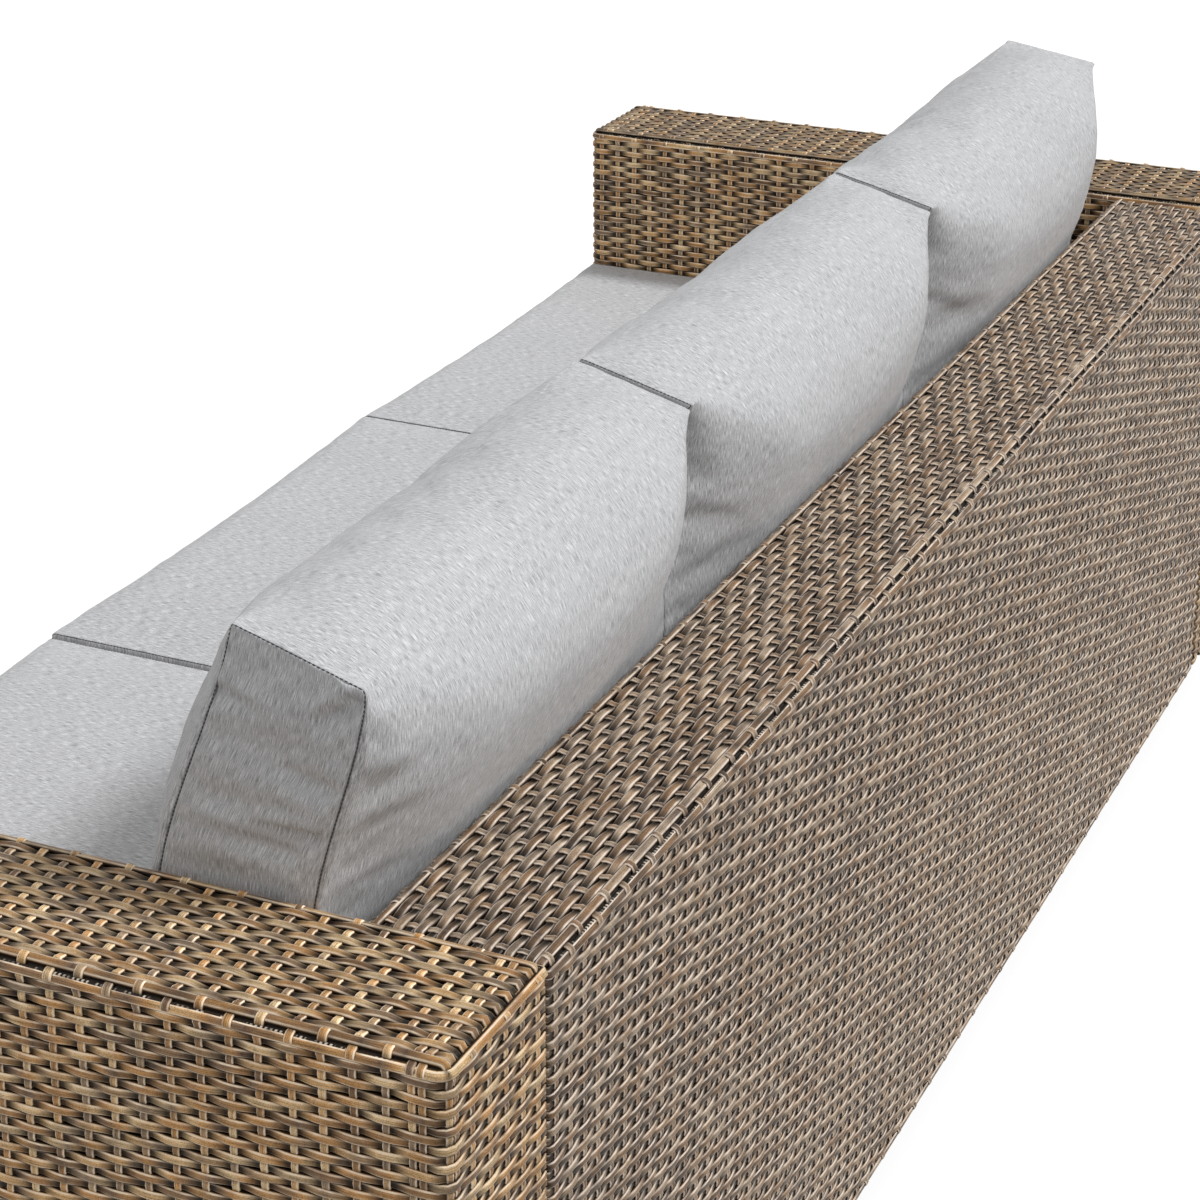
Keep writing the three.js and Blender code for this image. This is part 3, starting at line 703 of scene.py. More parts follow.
def strand_material(name, tones, highlight_tone, seed, level, rear_painted_shade=1.0, far_painted_shade=1.0):
    """Synthetic rattan: each strand has a tone that drifts along it, fine lengthwise lines and specks. It has
    a pale painted highlight beside its edges, strongest on its crests, and painted shade between strands and
    where it dives. level sets how light this copy is, and the last two arguments lower its tones as painted
    shade on the rear faces and on the right arm."""
    stops = [(place, tuple(level * part for part in colour)) for place, colour in zip(TONE_PLACES, tones)]
    n = Nodes(name)
    strand, along, across, lift = (n.attribute(key) for key in ("strand", "along", "across", "lift"))
    side = n.math("ABSOLUTE", across)
    drift = n.noise(n.combine(n.times(strand, 97.0), along, seed), 9.0)
    tone = n.plus(n.times(strand, 0.6), n.span(drift, 0.25, 0.75, 0.0, 0.9))
    colour = n.ramp(n.math("FRACT", tone), stops)
    own = n.times(strand, 211.0)
    lines = n.noise(n.combine(n.times(across, 3.8), n.times(along, 14.0), own), 2.6, 3.0, 0.6)
    patches = n.noise(n.combine(n.times(across, 0.6), n.times(along, 70.0), own), 1.0)
    specks = n.noise(n.place(), 1500.0, 2.0, 0.7)
    shade = n.plus(n.span(lines, 0.3, 0.7, 0.45, 1.50), n.span(specks, 0.35, 0.65, -0.35, 0.35),
                   n.span(patches, 0.3, 0.7, -0.16, 0.16))
    # Painted shade where the strand dives under its neighbours and painted highlight on its crests
    shade = n.times(n.math("MAXIMUM", shade, 0.15), n.span(lift, 0.1, 0.8, DIVE_PAINTED_SHADE, CREST_PAINTED_HIGHLIGHT))
    # Painted highlight: lighter towards the edges than at the middle, and a pale rim beside each edge that is
    # strongest on the crests
    colour = n.shaded(colour, n.times(shade, n.span(side, 0.05, 0.45, 0.85, 1.05)))
    rim_highlight = n.times(n.span(side, 0.44, 0.58), n.span(side, 0.80, 0.70),
                   n.span(patches, 0.35, 0.60, 0.30, 1.0), n.span(lift, 0.25, 0.85, 0.25, 1.0))
    colour = n.mix(rim_highlight, colour, tuple(level * part for part in highlight_tone))
    # Painted shade, set by position, on the rear faces and on the right arm
    place = n.node("ShaderNodeSeparateXYZ", {"Vector": n.place()}).outputs
    colour = n.shaded(colour, n.times(n.span(place["Y"], *REAR_EDGE, 1.0, rear_painted_shade),
                                      n.span(place["X"], *FAR_ARM_EDGE, far_painted_shade, 1.0)))
    # Painted shade along each strand's edges, where its neighbours meet it
    n.shade("Base Color", n.mix(n.span(side, 0.74, 0.86, 0.0, 0.96), colour, STRAND_EDGE_SHADE_COLOUR))
    n.shade("Roughness", n.span(lines, 0.25, 0.75, 0.58, 0.40))
    n.shade("Specular IOR Level", 0.15)
    n.bump(n.plus(lines, n.times(specks, 0.3)), 0.6, 0.0005)
    return n.owner


def slot_filler_material():
    """The filler strand in the slots along the edges, notched into small beads: its dark colour is painted
    shade of the slot, and the beads carry painted glints.
    """
    n = Nodes("slot_filler")
    strand, along = n.attribute("strand"), n.attribute("along")
    beat = n.math("ABSOLUTE", n.math("SUBTRACT", n.math("FRACT", n.times(along, GLINT_BEADS_PER_METRE)), 0.5))
    lost = n.noise(n.combine(strand, n.times(along, 130.0), 0.0), 1.0)
    glint_bead = n.times(n.span(beat, 0.20, 0.30), n.span(lost, 0.45, 0.60))
    # Painted shade of the slot, with painted glints on the beads
    n.shade("Base Color", n.mix(glint_bead, SLOT_SHADE_COLOUR, PAINTED_GLINT_COLOUR))
    n.shade("Roughness", n.span(lost, 0.3, 0.7, 0.55, 0.35))
    n.shade("Specular IOR Level", 0.2)
    n.bump(glint_bead, 0.8, 0.0008)
    return n.owner


def gap_shade_material():
    """Painted shade: a near-black sheet under the strands, seen in the gaps between them."""
    n = Nodes("rattan_gap_shade")
    cells = n.noise(n.stretched(n.place(), (1.0, 1.0, 3.0)), 160.0)
    n.mottled(cells, ((0.3, (0.006, 0.004, 0.003)), (0.8, (0.020, 0.014, 0.010))), (0.2, 0.8, 0.75, 0.9))
    n.shade("Specular IOR Level", 0.05)
    n.bump(cells, 0.4, 0.0006)
    return n.owner


def powder_coat_material():
    n = Nodes("brown_powder_coat")
    dust = n.noise(n.place(), 14.0, 4.0)
    n.mottled(dust, ((0.35, (0.020, 0.015, 0.011)), (0.75, (0.034, 0.026, 0.020))), (0.3, 0.7, 0.42, 0.56))
    n.bump(n.noise(n.place(), 900.0), 0.2, 0.0002)
    return n.owner


def steel_material():
    n = Nodes("bolt_steel")
    turned = n.noise(n.stretched(n.place(), (1.0, 40.0, 40.0)), 60.0, 3.0)
    n.mottled(turned, ((0.3, (0.42, 0.43, 0.44)), (0.7, (0.58, 0.59, 0.60))), (0.3, 0.7, 0.25, 0.42))
    n.shade("Metallic", 1.0)
    n.bump(turned, 0.15, 0.0001)
    return n.owner


def glide_material():
    n = Nodes("glide_plastic")
    wear = n.noise(n.place(), 60.0, 4.0)
    n.mottled(wear, ((0.4, (0.012, 0.012, 0.012)), (0.8, (0.035, 0.034, 0.033))), (0.3, 0.7, 0.5, 0.7))
    n.bump(n.noise(n.place(), 700.0), 0.2, 0.0002)
    return n.owner


# Tones of the strands, at these places on a ramp, and the tone of their painted highlight beside the edges
TONE_PLACES = (0.0, 0.14, 0.28, 0.42, 0.56, 0.70, 0.84, 1.0)
WARM_RATTAN = (
    (0.095, 0.058, 0.036), (0.300, 0.165, 0.066), (0.190, 0.125, 0.074), (0.430, 0.265, 0.120),
    (0.150, 0.105, 0.072), (0.450, 0.320, 0.175), (0.340, 0.180, 0.070), (0.120, 0.080, 0.054),
)
GREY_RATTAN = (
    (0.095, 0.061, 0.040), (0.290, 0.174, 0.094), (0.190, 0.134, 0.093), (0.440, 0.310, 0.198),
    (0.160, 0.117, 0.086), (0.470, 0.358, 0.252), (0.310, 0.188, 0.103), (0.130, 0.092, 0.066),
)
WARM_HIGHLIGHT = (0.76, 0.63, 0.48)
GREY_HIGHLIGHT = (1.12, 0.97, 0.83)
# Painted shade along the strands' edges
STRAND_EDGE_SHADE_COLOUR = (0.018, 0.011, 0.007)
# The slot filler's painted shade, its painted glints and how many glint beads lie in a metre
SLOT_SHADE_COLOUR = (0.016, 0.011, 0.008)
PAINTED_GLINT_COLOUR = (0.66, 0.57, 0.47)
GLINT_BEADS_PER_METRE = 290.0

# Painted shade where a strand dives and painted highlight at its crest, and where the rear faces start in Y
# and the far arm ends in X, past which the strands get painted shade
DIVE_PAINTED_SHADE = 0.09
CREST_PAINTED_HIGHLIGHT = 1.36
REAR_EDGE = (0.386, 0.397)
FAR_ARM_EDGE = (-0.902, -0.900)

# Lit and shaded copies of one rattan: on the arms and the seat the sides are painted lighter and the tops
# darker, both get painted shade on the right arm and the sides also on the rear faces; the back's two copies
# are nearly alike
warm_side_painted_lighter = strand_material("rattan_warm", WARM_RATTAN, WARM_HIGHLIGHT, 0.0, 1.60, 0.72, 0.82)
warm_top_painted_darker = strand_material("rattan_warm_top", WARM_RATTAN, WARM_HIGHLIGHT, 1.0, 0.97, 1.0, 0.72)
grey_side = strand_material("rattan_grey", GREY_RATTAN, GREY_HIGHLIGHT, 3.0, 0.72)
grey_top = strand_material("rattan_grey_top", GREY_RATTAN, GREY_HIGHLIGHT, 4.0, 0.73)
filler = slot_filler_material()
gap_shade = gap_shade_material()

# Arms


def strand_groups(prefix, seed, names, node, side=1):
    return [Strands(f"{prefix}_{name}", seed + i, node, side=side) for i, name in enumerate(names)]


def edge_places(route, face):
    """Places beside the corner where a face ends: the border rows before and after it, and their slot."""
    start = route.before(face, EDGE_RADIUS)
    arc = EDGE_RADIUS * math.pi / 2
    return start + BORDER_SHIFT, start + arc - BORDER_SHIFT, start + arc / 2


def weave_arm(node, word, side, deck_z, back_y):
    low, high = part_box(node)
    outer, inner = max(abs(low.x), abs(high.x)), min(abs(low.x), abs(high.x))
    front, rear, floor, top = low.y, high.y, low.z, high.z
    names = ("lower_wefts", "upper_wefts", "top_wefts", "warps", "edge_core")
    groups = strand_groups(f"arm_{word}", 10 if side > 0 else 30, names, node, side)
    lower, upper, capping, upright, core = groups

    # Profile over the outer face and the top, as distances out from the face and heights
    width, depth = outer - inner, rear - front
    over = Route([(-TURN_IN, floor), (0, floor), (0, top), (-width, top), (-width, top - HANG)],
                 [SEAM_RADIUS, EDGE_RADIUS, EDGE_RADIUS], hand=-1)
    outer_low, outer_high, outer_slot = edge_places(over, 1)
    inner_high, _, inner_slot = edge_places(over, 2)
    side_places = evenly(over.after(1, BOTTOM_MARGIN), outer_low, ROW_PITCH)
    top_places = evenly(outer_high, inner_high, TOP_ROW_PITCH)
    bands = floor + (side_places - over.face_starts[1])
    top_spots = outer - (top_places - over.face_starts[2])
    last_band = len(bands) - 1
    last_row = last_band + len(top_places)

    # Bands round the arm: below the deck they end at the apron, above it they run on along the inner face
    lead = [(inner, rear - TURN_IN), (inner, rear), (outer, rear), (outer, front), (inner, front)]
    radii = [SEAM_RADIUS, CORNER_RADIUS, CORNER_RADIUS]
    plan_low = Route([*lead, (inner, front + TURN_IN)], [*radii, SEAM_RADIUS])
    plan_high = Route([*lead, (inner, back_y - BACK_GAP)], [*radii, CORNER_RADIUS])
    plan_ring = Route([*lead, (inner, rear - TURN_IN)], [*radii, CORNER_RADIUS])
    first_inset, next_inset, last_inset = END_INSETS
    end_steps = np.array([*evenly(first_inset, width - next_inset, WARP_PITCH), width - last_inset])
    side_steps = evenly(SIDE_INSET, depth - SIDE_INSET, WARP_PITCH)
    inner_steps = evenly(INNER_INSETS[0], back_y - front - INNER_INSETS[1], WARP_PITCH)
    rear_crossings = plan_low.after(1, end_steps)
    outer_crossings = plan_low.after(2, side_steps)
    front_crossings = plan_low.before(3, end_steps[::-1])
    inner_crossings = plan_high.after(4, inner_steps)
    around = [*rear_crossings, *outer_crossings, *front_crossings]
    first_outer, first_front = len(rear_crossings), len(rear_crossings) + len(outer_crossings)
    low_bands = [z for z in bands[:-1] if z < deck_z]
    high_bands = [z for z in bands[:-1] if z >= deck_z]
    lower.wefts(plan_low, XY, around, low_bands, 0)
    upper.wefts(plan_high, XY, [*around, *inner_crossings], high_bands, len(low_bands), ends=(False, True))
    upper.high_border(plan_ring, top)

    # The top's strands turn down over both ends and finish in the slot above the band
    along_top = turned_in(rear, front, top, -TOP_TURN_DOWN, hand=-1, radius=EDGE_RADIUS)
    top_start = along_top.before(0, EDGE_RADIUS) + SLOT_REACH
    top_span = (top_start, along_top.length - top_start)
    capping.wefts(along_top, YZ, along_top.after(1, side_steps), top_spots[1:-1], last_band + 2 + first_outer,
                  half=TOP_WEFT_HALF, span=top_span, ends=(True, True))
    for spot, lean in ((top_spots[0], BORDER_LEAN), (top_spots[-1], -BORDER_LEAN)):
        capping.border(along_top, YZ, spot, lean=(lean, 0, 0), span=top_span, ends=(True, True))

    # Warps of the outer face run on over the top and end in the inner slot
    borders = (0, last_band, last_band + 1, last_row)
    places, index = paired(outer_crossings, (0, len(outer_crossings) - 1))
    upright.warps(over, [*side_places, *top_places], borders, plan_low.at(places), first_outer + index,
                  span=(0.0, inner_slot))

    # Warps of the rear and front faces end in the slot, and those beside a corner lie deeper
    rise = Route([(-TURN_IN, floor), (0, floor), (0, top), (-HANG, top)], [SEAM_RADIUS, EDGE_RADIUS], hand=-1)
    for crossings, first, corner in ((rear_crossings, 0, -1), (front_crossings, first_front, 0)):
        numbers = first + np.arange(len(crossings))
        near, _ = paired([crossings[corner]], (0,))
        for places, parities, sunk in ((np.delete(crossings, corner), np.delete(numbers, corner), 0.0),
                                       (near, [numbers[corner]] * 2, CORNER_SINK)):
            upright.warps(rise, side_places, (0, last_band), plan_low.at(places), parities,
                          span=(0.0, outer_slot), sunk=sunk)

    # Warps of the inner face hang from the slot down to the deck
    fall = Route([(-HANG, top), (0, top), (0, deck_z)], [EDGE_RADIUS])
    fall_places = [fall.after(1, top - z) for z in bands[::-1] if z >= deck_z]
    fall_places[0] = fall.after(1, EDGE_RADIUS - BORDER_SHIFT)
    parities = last_band + first_front + len(front_crossings) + np.arange(len(inner_steps))
    upright.warps(fall, fall_places, (0,), plan_high.at(inner_crossings), parities,
                  span=(edge_places(fall, 0)[2], fall.length), ends=(True, True))
    core.fill_slots((rear - CORE_INSET, front + CORE_INSET), YZ, top, outer, inner, hand=-1)
    return groups


# Back, seat deck and apron


def facing_base(places, y, way):
    """Base points along the sofa at this Y, with their normals."""
    ones = np.ones(len(places))
    return np.stack([places, ones * y], -1), np.stack([0 * ones, ones * way], -1)


def weave_back(node, deck_z):
    low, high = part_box(node)
    front, rear, floor, top = low.y, high.y, low.z, high.z
    thick = rear - front
    profile = Route([(-TURN_IN, floor), (0, floor), (0, top), (-thick, top), (-thick, deck_z)],
                    [SEAM_RADIUS, EDGE_RADIUS, EDGE_RADIUS], hand=-1)
    rear_low, rear_high, _ = edge_places(profile, 1)
    front_high, front_low, _ = edge_places(profile, 2)
    rear_places = evenly(profile.after(1, BOTTOM_MARGIN), rear_low, ROW_PITCH)
    top_places = evenly(rear_high, front_high, TOP_ROW_PITCH)
    front_places = evenly(front_low, profile.length - BACK_MARGIN, ROW_PITCH)
    rows = [*rear_places, *top_places, *front_places]
    crossings_x = evenly(low.x + LONG_INSET, high.x - LONG_INSET, WARP_PITCH)
    first_top, first_front = len(rear_places), len(rear_places) + len(top_places)
    borders = (0, first_top - 1, first_top, first_front - 1, first_front)
    names = ("rear_wefts", "rear_upper_wefts", "top_wefts", "front_wefts", "warps_1", "warps_2", "edge_core")
    groups = strand_groups("back", 50, names, node)
    lower, upper, capping, facing, *upright, core = groups

    # Strands along the sofa, with their ends turned in beside the arms
    across = turned_in(low.x, high.x, rear, -TURN_IN)
    rear_z = floor + (rear_places[1:-1] - profile.face_starts[1])
    crossings = across.after(1, crossings_x - low.x)
    half_way = len(rear_z) // 2
    lower.wefts(across, XY, crossings, rear_z[:half_way], 1)
    lower.low_border(across, floor)
    upper.wefts(across, XY, crossings, rear_z[half_way:], 1 + half_way)
    upper.high_border(across, top)

    above = turned_in(low.x, high.x, top, -TURN_IN)
    top_y = rear - (top_places - profile.face_starts[2])
    capping.wefts(above, XZ, above.after(1, crossings_x - low.x), top_y[1:-1], first_top + 1,
                  half=TOP_WEFT_HALF)
    for y, lean in ((top_y[0], BORDER_LEAN), (top_y[-1], -BORDER_LEAN)):
        capping.border(above, XZ, y, lean=(0, lean, 0))

    along = turned_in(low.x, high.x, front, TURN_IN, hand=-1)
    front_z = top - (front_places[1:] - profile.face_starts[3])
    facing.wefts(along, XY, along.after(1, crossings_x - low.x), front_z, first_front + 1)
    facing.high_border(along, top)

    # Warps run from under the bottom edge over the top and down to the deck
    middle = len(crossings_x) // 2
    for group, part in zip(upright, (slice(None, middle), slice(middle, None))):
        base = facing_base(crossings_x[part], rear, 1)
        group.warps(profile, rows, borders, base, np.arange(len(crossings_x))[part])
    core.fill_slots((low.x, high.x), XZ, top, rear, front)
    return groups


def weave_seat(deck, apron):
    low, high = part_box(deck)
    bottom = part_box(apron)[0].z
    front, rear, top = low.y, high.y, high.z
    profile = Route([(-TURN_IN, bottom), (0, bottom), (0, top), (front - rear, top)],
                    [SEAM_RADIUS, EDGE_RADIUS], hand=-1)
    edge_low, edge_high, _ = edge_places(profile, 1)
    apron_places = evenly(profile.after(1, BOTTOM_MARGIN), edge_low, ROW_PITCH)
    deck_places = evenly(edge_high, profile.length - DECK_MARGIN, DECK_ROW_PITCH)
    first_deck = len(apron_places)
    crossings_x = evenly(low.x + LONG_INSET, high.x - LONG_INSET, WARP_PITCH)

    fronts = Strands("apron_wefts", 60, apron)
    across = turned_in(low.x, high.x, front, TURN_IN, hand=-1)
    apron_z = bottom + (apron_places - profile.face_starts[1])
    fronts.wefts(across, XY, across.after(1, crossings_x - low.x), apron_z[1:-1], 1)
    fronts.low_border(across, bottom)
    fronts.high_border(across, top)

    decks = Strands("deck_wefts", 61, deck)
    level = Route([(low.x, top), (high.x, top)], [])
    deck_y = front + (deck_places - profile.face_starts[2])
    decks.wefts(level, XZ, crossings_x - low.x, deck_y[1:], first_deck + 1, half=DECK_WEFT_HALF,
                ends=(True, True))
    decks.border(level, XZ, deck_y[0], ends=(True, True))

    upright = Strands("seat_warps", 62, deck, apron)
    upright.warps(profile, [*apron_places, *deck_places], (0, first_deck - 1, first_deck),
                  facing_base(crossings_x, front, -1), np.arange(len(crossings_x)))
    return [fronts, decks, upright]


def lining(name, node, shape):
    """Doubles a lining of painted shade and makes it a piece. The shells become LINING_WALL thick. The
    sheets don't: their new faces have no normals yet, so both layers lie in one place."""
    bmesh.ops.solidify(shape, geom=shape.faces[:], thickness=LINING_WALL)
    bmesh.ops.recalc_face_normals(shape, faces=shape.faces[:])
    mesh = bpy.data.meshes.new(name)
    shape.to_mesh(mesh)
    shape.free()
    dress(name, mesh, gap_shade, FRAME_BODY, "woven_rattan", node)


def shell_lining(name, node):
    """A thin dark shell of painted shade just under the strands, open below, with a lip turned in."""
    low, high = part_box(node)
    low, high = low + Vector((LINING_DEPTH,) * 3), high - Vector((LINING_DEPTH,) * 3)
    shape = bmesh.new()
    bmesh.ops.create_cube(shape, size=1.0)
    for vert in shape.verts:
        vert.co = Vector([low[k] if vert.co[k] < 0 else high[k] for k in range(3)])
    upright = [e for e in shape.edges if abs(e.verts[0].co.z - e.verts[1].co.z) > TOUCHING]
    round_by = CORNER_RADIUS - LINING_DEPTH
    bmesh.ops.bevel(shape, geom=upright, offset=round_by, segments=3, profile=0.5, affect="EDGES")
    rim = [e for e in shape.edges if all(v.co.z > high.z - TOUCHING for v in e.verts)]
    round_by = EDGE_RADIUS - LINING_DEPTH
    bmesh.ops.bevel(shape, geom=rim, offset=round_by, segments=3, profile=0.5, affect="EDGES")
    below = [f for f in shape.faces if f.normal.z < -0.9]
    bmesh.ops.inset_region(shape, faces=below, thickness=LINING_LIP, use_even_offset=True)
    bmesh.ops.delete(shape, geom=below, context="FACES_ONLY")
    lining(name, node, shape)


def sheet_lining(name, node, places):
    """A thin dark sheet of painted shade under the strands of the seat, through these places in YZ."""
    low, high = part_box(node)
    shape = bmesh.new()
    rows = []
    for x in np.linspace(low.x + SHEET_INSET, high.x - SHEET_INSET, 5):
        rows.append([shape.verts.new((x, y, z)) for y, z in places])
    for first, second in zip(rows, rows[1:]):
        for corners in zip(first, second, second[1:], first[1:]):
            shape.faces.new(corners)
    lining(name, node, shape)


def make_all(groups, plain, top):
    """Builds the pieces. Those of the slots take the filler's look, and those of a top the top copy of the
    rattan, which on the arms and the seat is painted darker than the side copy.
    """
    for group in groups:
        if "core" in group.name:
            group.make(filler)
        else:
            group.make(top if "top" in group.name else plain)


deck_low, deck_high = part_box("seat_deck_weave")
apron_low, apron_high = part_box("front_apron_weave")
back_low, back_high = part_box("back_weave")
for word, side in (("left", 1), ("right", -1)):
    node = f"arm_weave_{word}"
    make_all(weave_arm(node, word, side, deck_high.z, back_low.y), warm_side_painted_lighter, warm_top_painted_darker)
    shell_lining(f"arm_{word}_lining", node)
make_all(weave_back("back_weave", deck_high.z), grey_side, grey_top)
shell_lining("back_lining", "back_weave")
make_all(weave_seat("seat_deck_weave", "front_apron_weave"), warm_side_painted_lighter, warm_top_painted_darker)
sheet_lining("deck_lining", "seat_deck_weave", [
    (deck_low.y + LINING_DEPTH, deck_low.z),
    (deck_low.y + LINING_DEPTH, deck_high.z - LINING_DEPTH - SHEET_CORNER),
    (deck_low.y + LINING_DEPTH + SHEET_CORNER, deck_high.z - LINING_DEPTH),
    (deck_high.y, deck_high.z - LINING_DEPTH),
])
sheet_lining("apron_lining", "front_apron_weave", [
    (apron_low.y + LINING_LIP, apron_low.z + LINING_DEPTH),
    (apron_low.y + LINING_DEPTH, apron_low.z + LINING_DEPTH),
    (apron_low.y + LINING_DEPTH, apron_high.z),
])

# Frame, legs, glides and bolts
coat, steel, plastic = powder_coat_material(), steel_material(), glide_material()
for name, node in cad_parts.items():
    finish = steel if name.startswith("bolt") else plastic if name.startswith("glide") else coat
    if "cushion" not in name and "weave" not in name:
        node.data.materials.clear()
        node.data.materials.append(finish)

# Cushions


def line_shares(length, coarse):
    """Shares at which the lattice is cut along one side: fine beside the seams, coarse between."""
    fine = np.array(SEAM_LINES)
    count = max(2, round((length - 2 * fine[-1]) / coarse))
    inner = np.linspace(fine[-1], length - fine[-1], count + 1)
    return np.concatenate([[0.0], fine[:-1], inner, length - fine[:-1][::-1], [length]]) / length


def lengths(rows):
    """The length of each row, never quite nothing."""
    return np.maximum(np.linalg.norm(rows, axis=1, keepdims=True), 1e-9)


def coordinates(mesh):
    values = np.zeros(len(mesh.vertices) * 3)
    mesh.vertices.foreach_get("co", values)
    return values.reshape(-1, 3)


def interpolated(places, run, values):
    """The three columns of values, read off at these places along their run."""
    return np.stack([np.interp(places, run, values[:, k]) for k in range(3)], -1)


class Cushion:
    """A box cushion: one length of fabric goes round it, and a panel is sewn in at each end. Its section
    gives the low front, low rear, top front and top rear edges in YZ."""

    def __init__(self, node, section, roundings, crowns, reaches, seed, leans, pinches=(0.0, 0.0)):
        low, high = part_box(node)
        self.node = node
        self.section = np.array(section)
        self.roundings, self.crowns, self.reaches = roundings, crowns, reaches
        self.leans, self.pinches = np.array(leans), pinches
        self.middle = (low.x + high.x) / 2
        self.half = (high.x - low.x) / 2
        self.rng = np.random.default_rng(seed)
        low_front, low_rear, top_front, _ = self.section
        self.depth = float(np.linalg.norm(low_rear - low_front))
        self.height = float(np.linalg.norm(top_front - low_front))
        self.x_shares = line_shares(2 * self.half, CLOTH_STEP)
        self.y_shares = line_shares(self.depth, CLOTH_ROW)
        self.z_shares = line_shares(self.height, CLOTH_ROW)
        self.number()
        self.points = self.shaped()

    def number(self):
        """Numbers the points and lists the quads, each with its place on the flat fabric."""
        nx, ny, nz = (len(shares) - 1 for shares in (self.x_shares, self.y_shares, self.z_shares))
        up, back = np.arange(nz), np.arange(ny)
        ring_j = np.concatenate([0 * up, back, 0 * up + ny, ny - back])
        ring_k = np.concatenate([up, 0 * back + nz, nz - up, 0 * back])
        count = len(ring_j)
        i, r = np.meshgrid(np.arange(nx + 1), np.arange(count), indexing="ij")
        inner_j, inner_k = np.meshgrid(np.arange(1, ny), np.arange(1, nz), indexing="ij")
        inner = inner_j.size
        lattice_i = np.concatenate([i.ravel(), np.zeros(inner, int), np.full(inner, nx)])
        lattice_j = np.concatenate([ring_j[r].ravel(), inner_j.ravel(), inner_j.ravel()])
        lattice_k = np.concatenate([ring_k[r].ravel(), inner_k.ravel(), inner_k.ravel()])
        self.shares = np.stack(
            [self.x_shares[lattice_i], self.y_shares[lattice_j], self.z_shares[lattice_k]], axis=1
        )

        # The length of fabric: across it in X, and round the section from the low front edge
        wide_x, wide_y, high_z = (
            self.x_shares * 2 * self.half, self.y_shares * self.depth, self.z_shares * self.height
        )
        around = np.concatenate([high_z[:-1], self.height + wide_y[:-1],
                                 self.height + self.depth + high_z[:-1],
                                 2 * self.height + self.depth + wide_y])
        steps = ((0, 0), (1, 0), (1, 1), (0, 1))
        a, b = np.meshgrid(np.arange(nx), np.arange(count), indexing="ij")
        quads = [np.stack([(a + i) * count + (b + j) % count for i, j in steps], -1)]
        flats = [np.stack([np.stack([wide_x[a + i], around[b + j]], -1) for i, j in steps], -2)]
        panel = [np.zeros(a.size)]

        # The end panels
        base = (nx + 1) * count
        j, k = np.meshgrid(np.arange(ny), np.arange(nz), indexing="ij")
        corners = [(j + dj, k + dk) for dj, dk in steps]
        for end, at, order in ((0, 0, -1), (1, nx, 1)):
            grid = np.zeros((ny + 1, nz + 1), int)
            grid[ring_j, ring_k] = at * count + np.arange(count)
            grid[1:-1, 1:-1] = base + end * inner + np.arange(inner).reshape(ny - 1, nz - 1)
            ordered = corners[::order]
            quads.append(np.stack([grid[c] for c in ordered], -1))
            flats.append(np.stack([np.stack([wide_y[cj], high_z[ck]], -1) for cj, ck in ordered], -2))
            panel.append(np.full(j.size, end + 1.0))
        self.quads = np.concatenate([q.reshape(-1, 4) for q in quads])
        self.flats = np.concatenate([f.reshape(-1, 4, 2) for f in flats])
        self.panel = np.concatenate(panel)
        self.seams = [np.arange(count), nx * count + np.arange(count)]

    def shaped(self):
        """The filled shape: sharp at the sewn ends, round and crowned between them."""
        share_x, share_y, share_z = self.shares.T
        to_end = np.minimum(share_x, 1 - share_x) * 2 * self.half
        turn, full_at = self.reaches
        fullness = smooth(to_end / full_at)
        rounded = np.sqrt(1 - (1 - np.clip(to_end / turn, 0, 1)) ** 2)
        swell = TURN_SHARE * rounded + (1 - TURN_SHARE) * fullness
        top_front, top_rear, low_edge = (END_ROUNDING + (r - END_ROUNDING) * fullness for r in self.roundings)
        radius = np.where(share_z > 0.5, np.where(share_y > 0.5, top_rear, top_front), low_edge)
        half = np.array([self.depth / 2, self.height / 2])
        flat = (np.stack([share_y, share_z], -1) * 2 - 1) * half
        core = np.clip(flat, -(half - radius[:, None]), half - radius[:, None])
        off = flat - core
        off = off * (np.abs(off).max(axis=1, keepdims=True) / lengths(off))
        a, b = ((core + off) / half / 2 + 0.5).T
        low_front, low_rear, top_front, top_rear = self.section
        low = between(low_front, low_rear, a[:, None])
        top = between(top_front, top_rear, a[:, None])
        place = between(low, top, b[:, None])
        right, left = (between(end[0], end[1], a[:, None]) for end in self.leans)
        lean = between(right, left, share_x[:, None])
        place += lean * smooth((b - LEAN_START) / (1 - LEAN_START))[:, None]
        front, rear, above = self.crowns
        pinch = between(*self.pinches, share_x)
        high_up = (1 - (2 * b ** 3 - 1) ** 2) * smooth(a * 2 - 1)
        place[:, 0] += (rear * swell - pinch * (1 - swell)) * high_up
        place[:, 0] -= front * swell * (1 - (2 * b - 1) ** 4) * smooth(1 - 2 * a)
        over = CORNER_LIFT + (1 - CORNER_LIFT) * (1 - (2 * a - 1) ** 2)
        place[:, 1] += fullness * above * over * smooth(2 * b - 1)
        x = self.middle + (share_x * 2 - 1) * (self.half + SEAM_REACH)
        return np.column_stack([x, place])

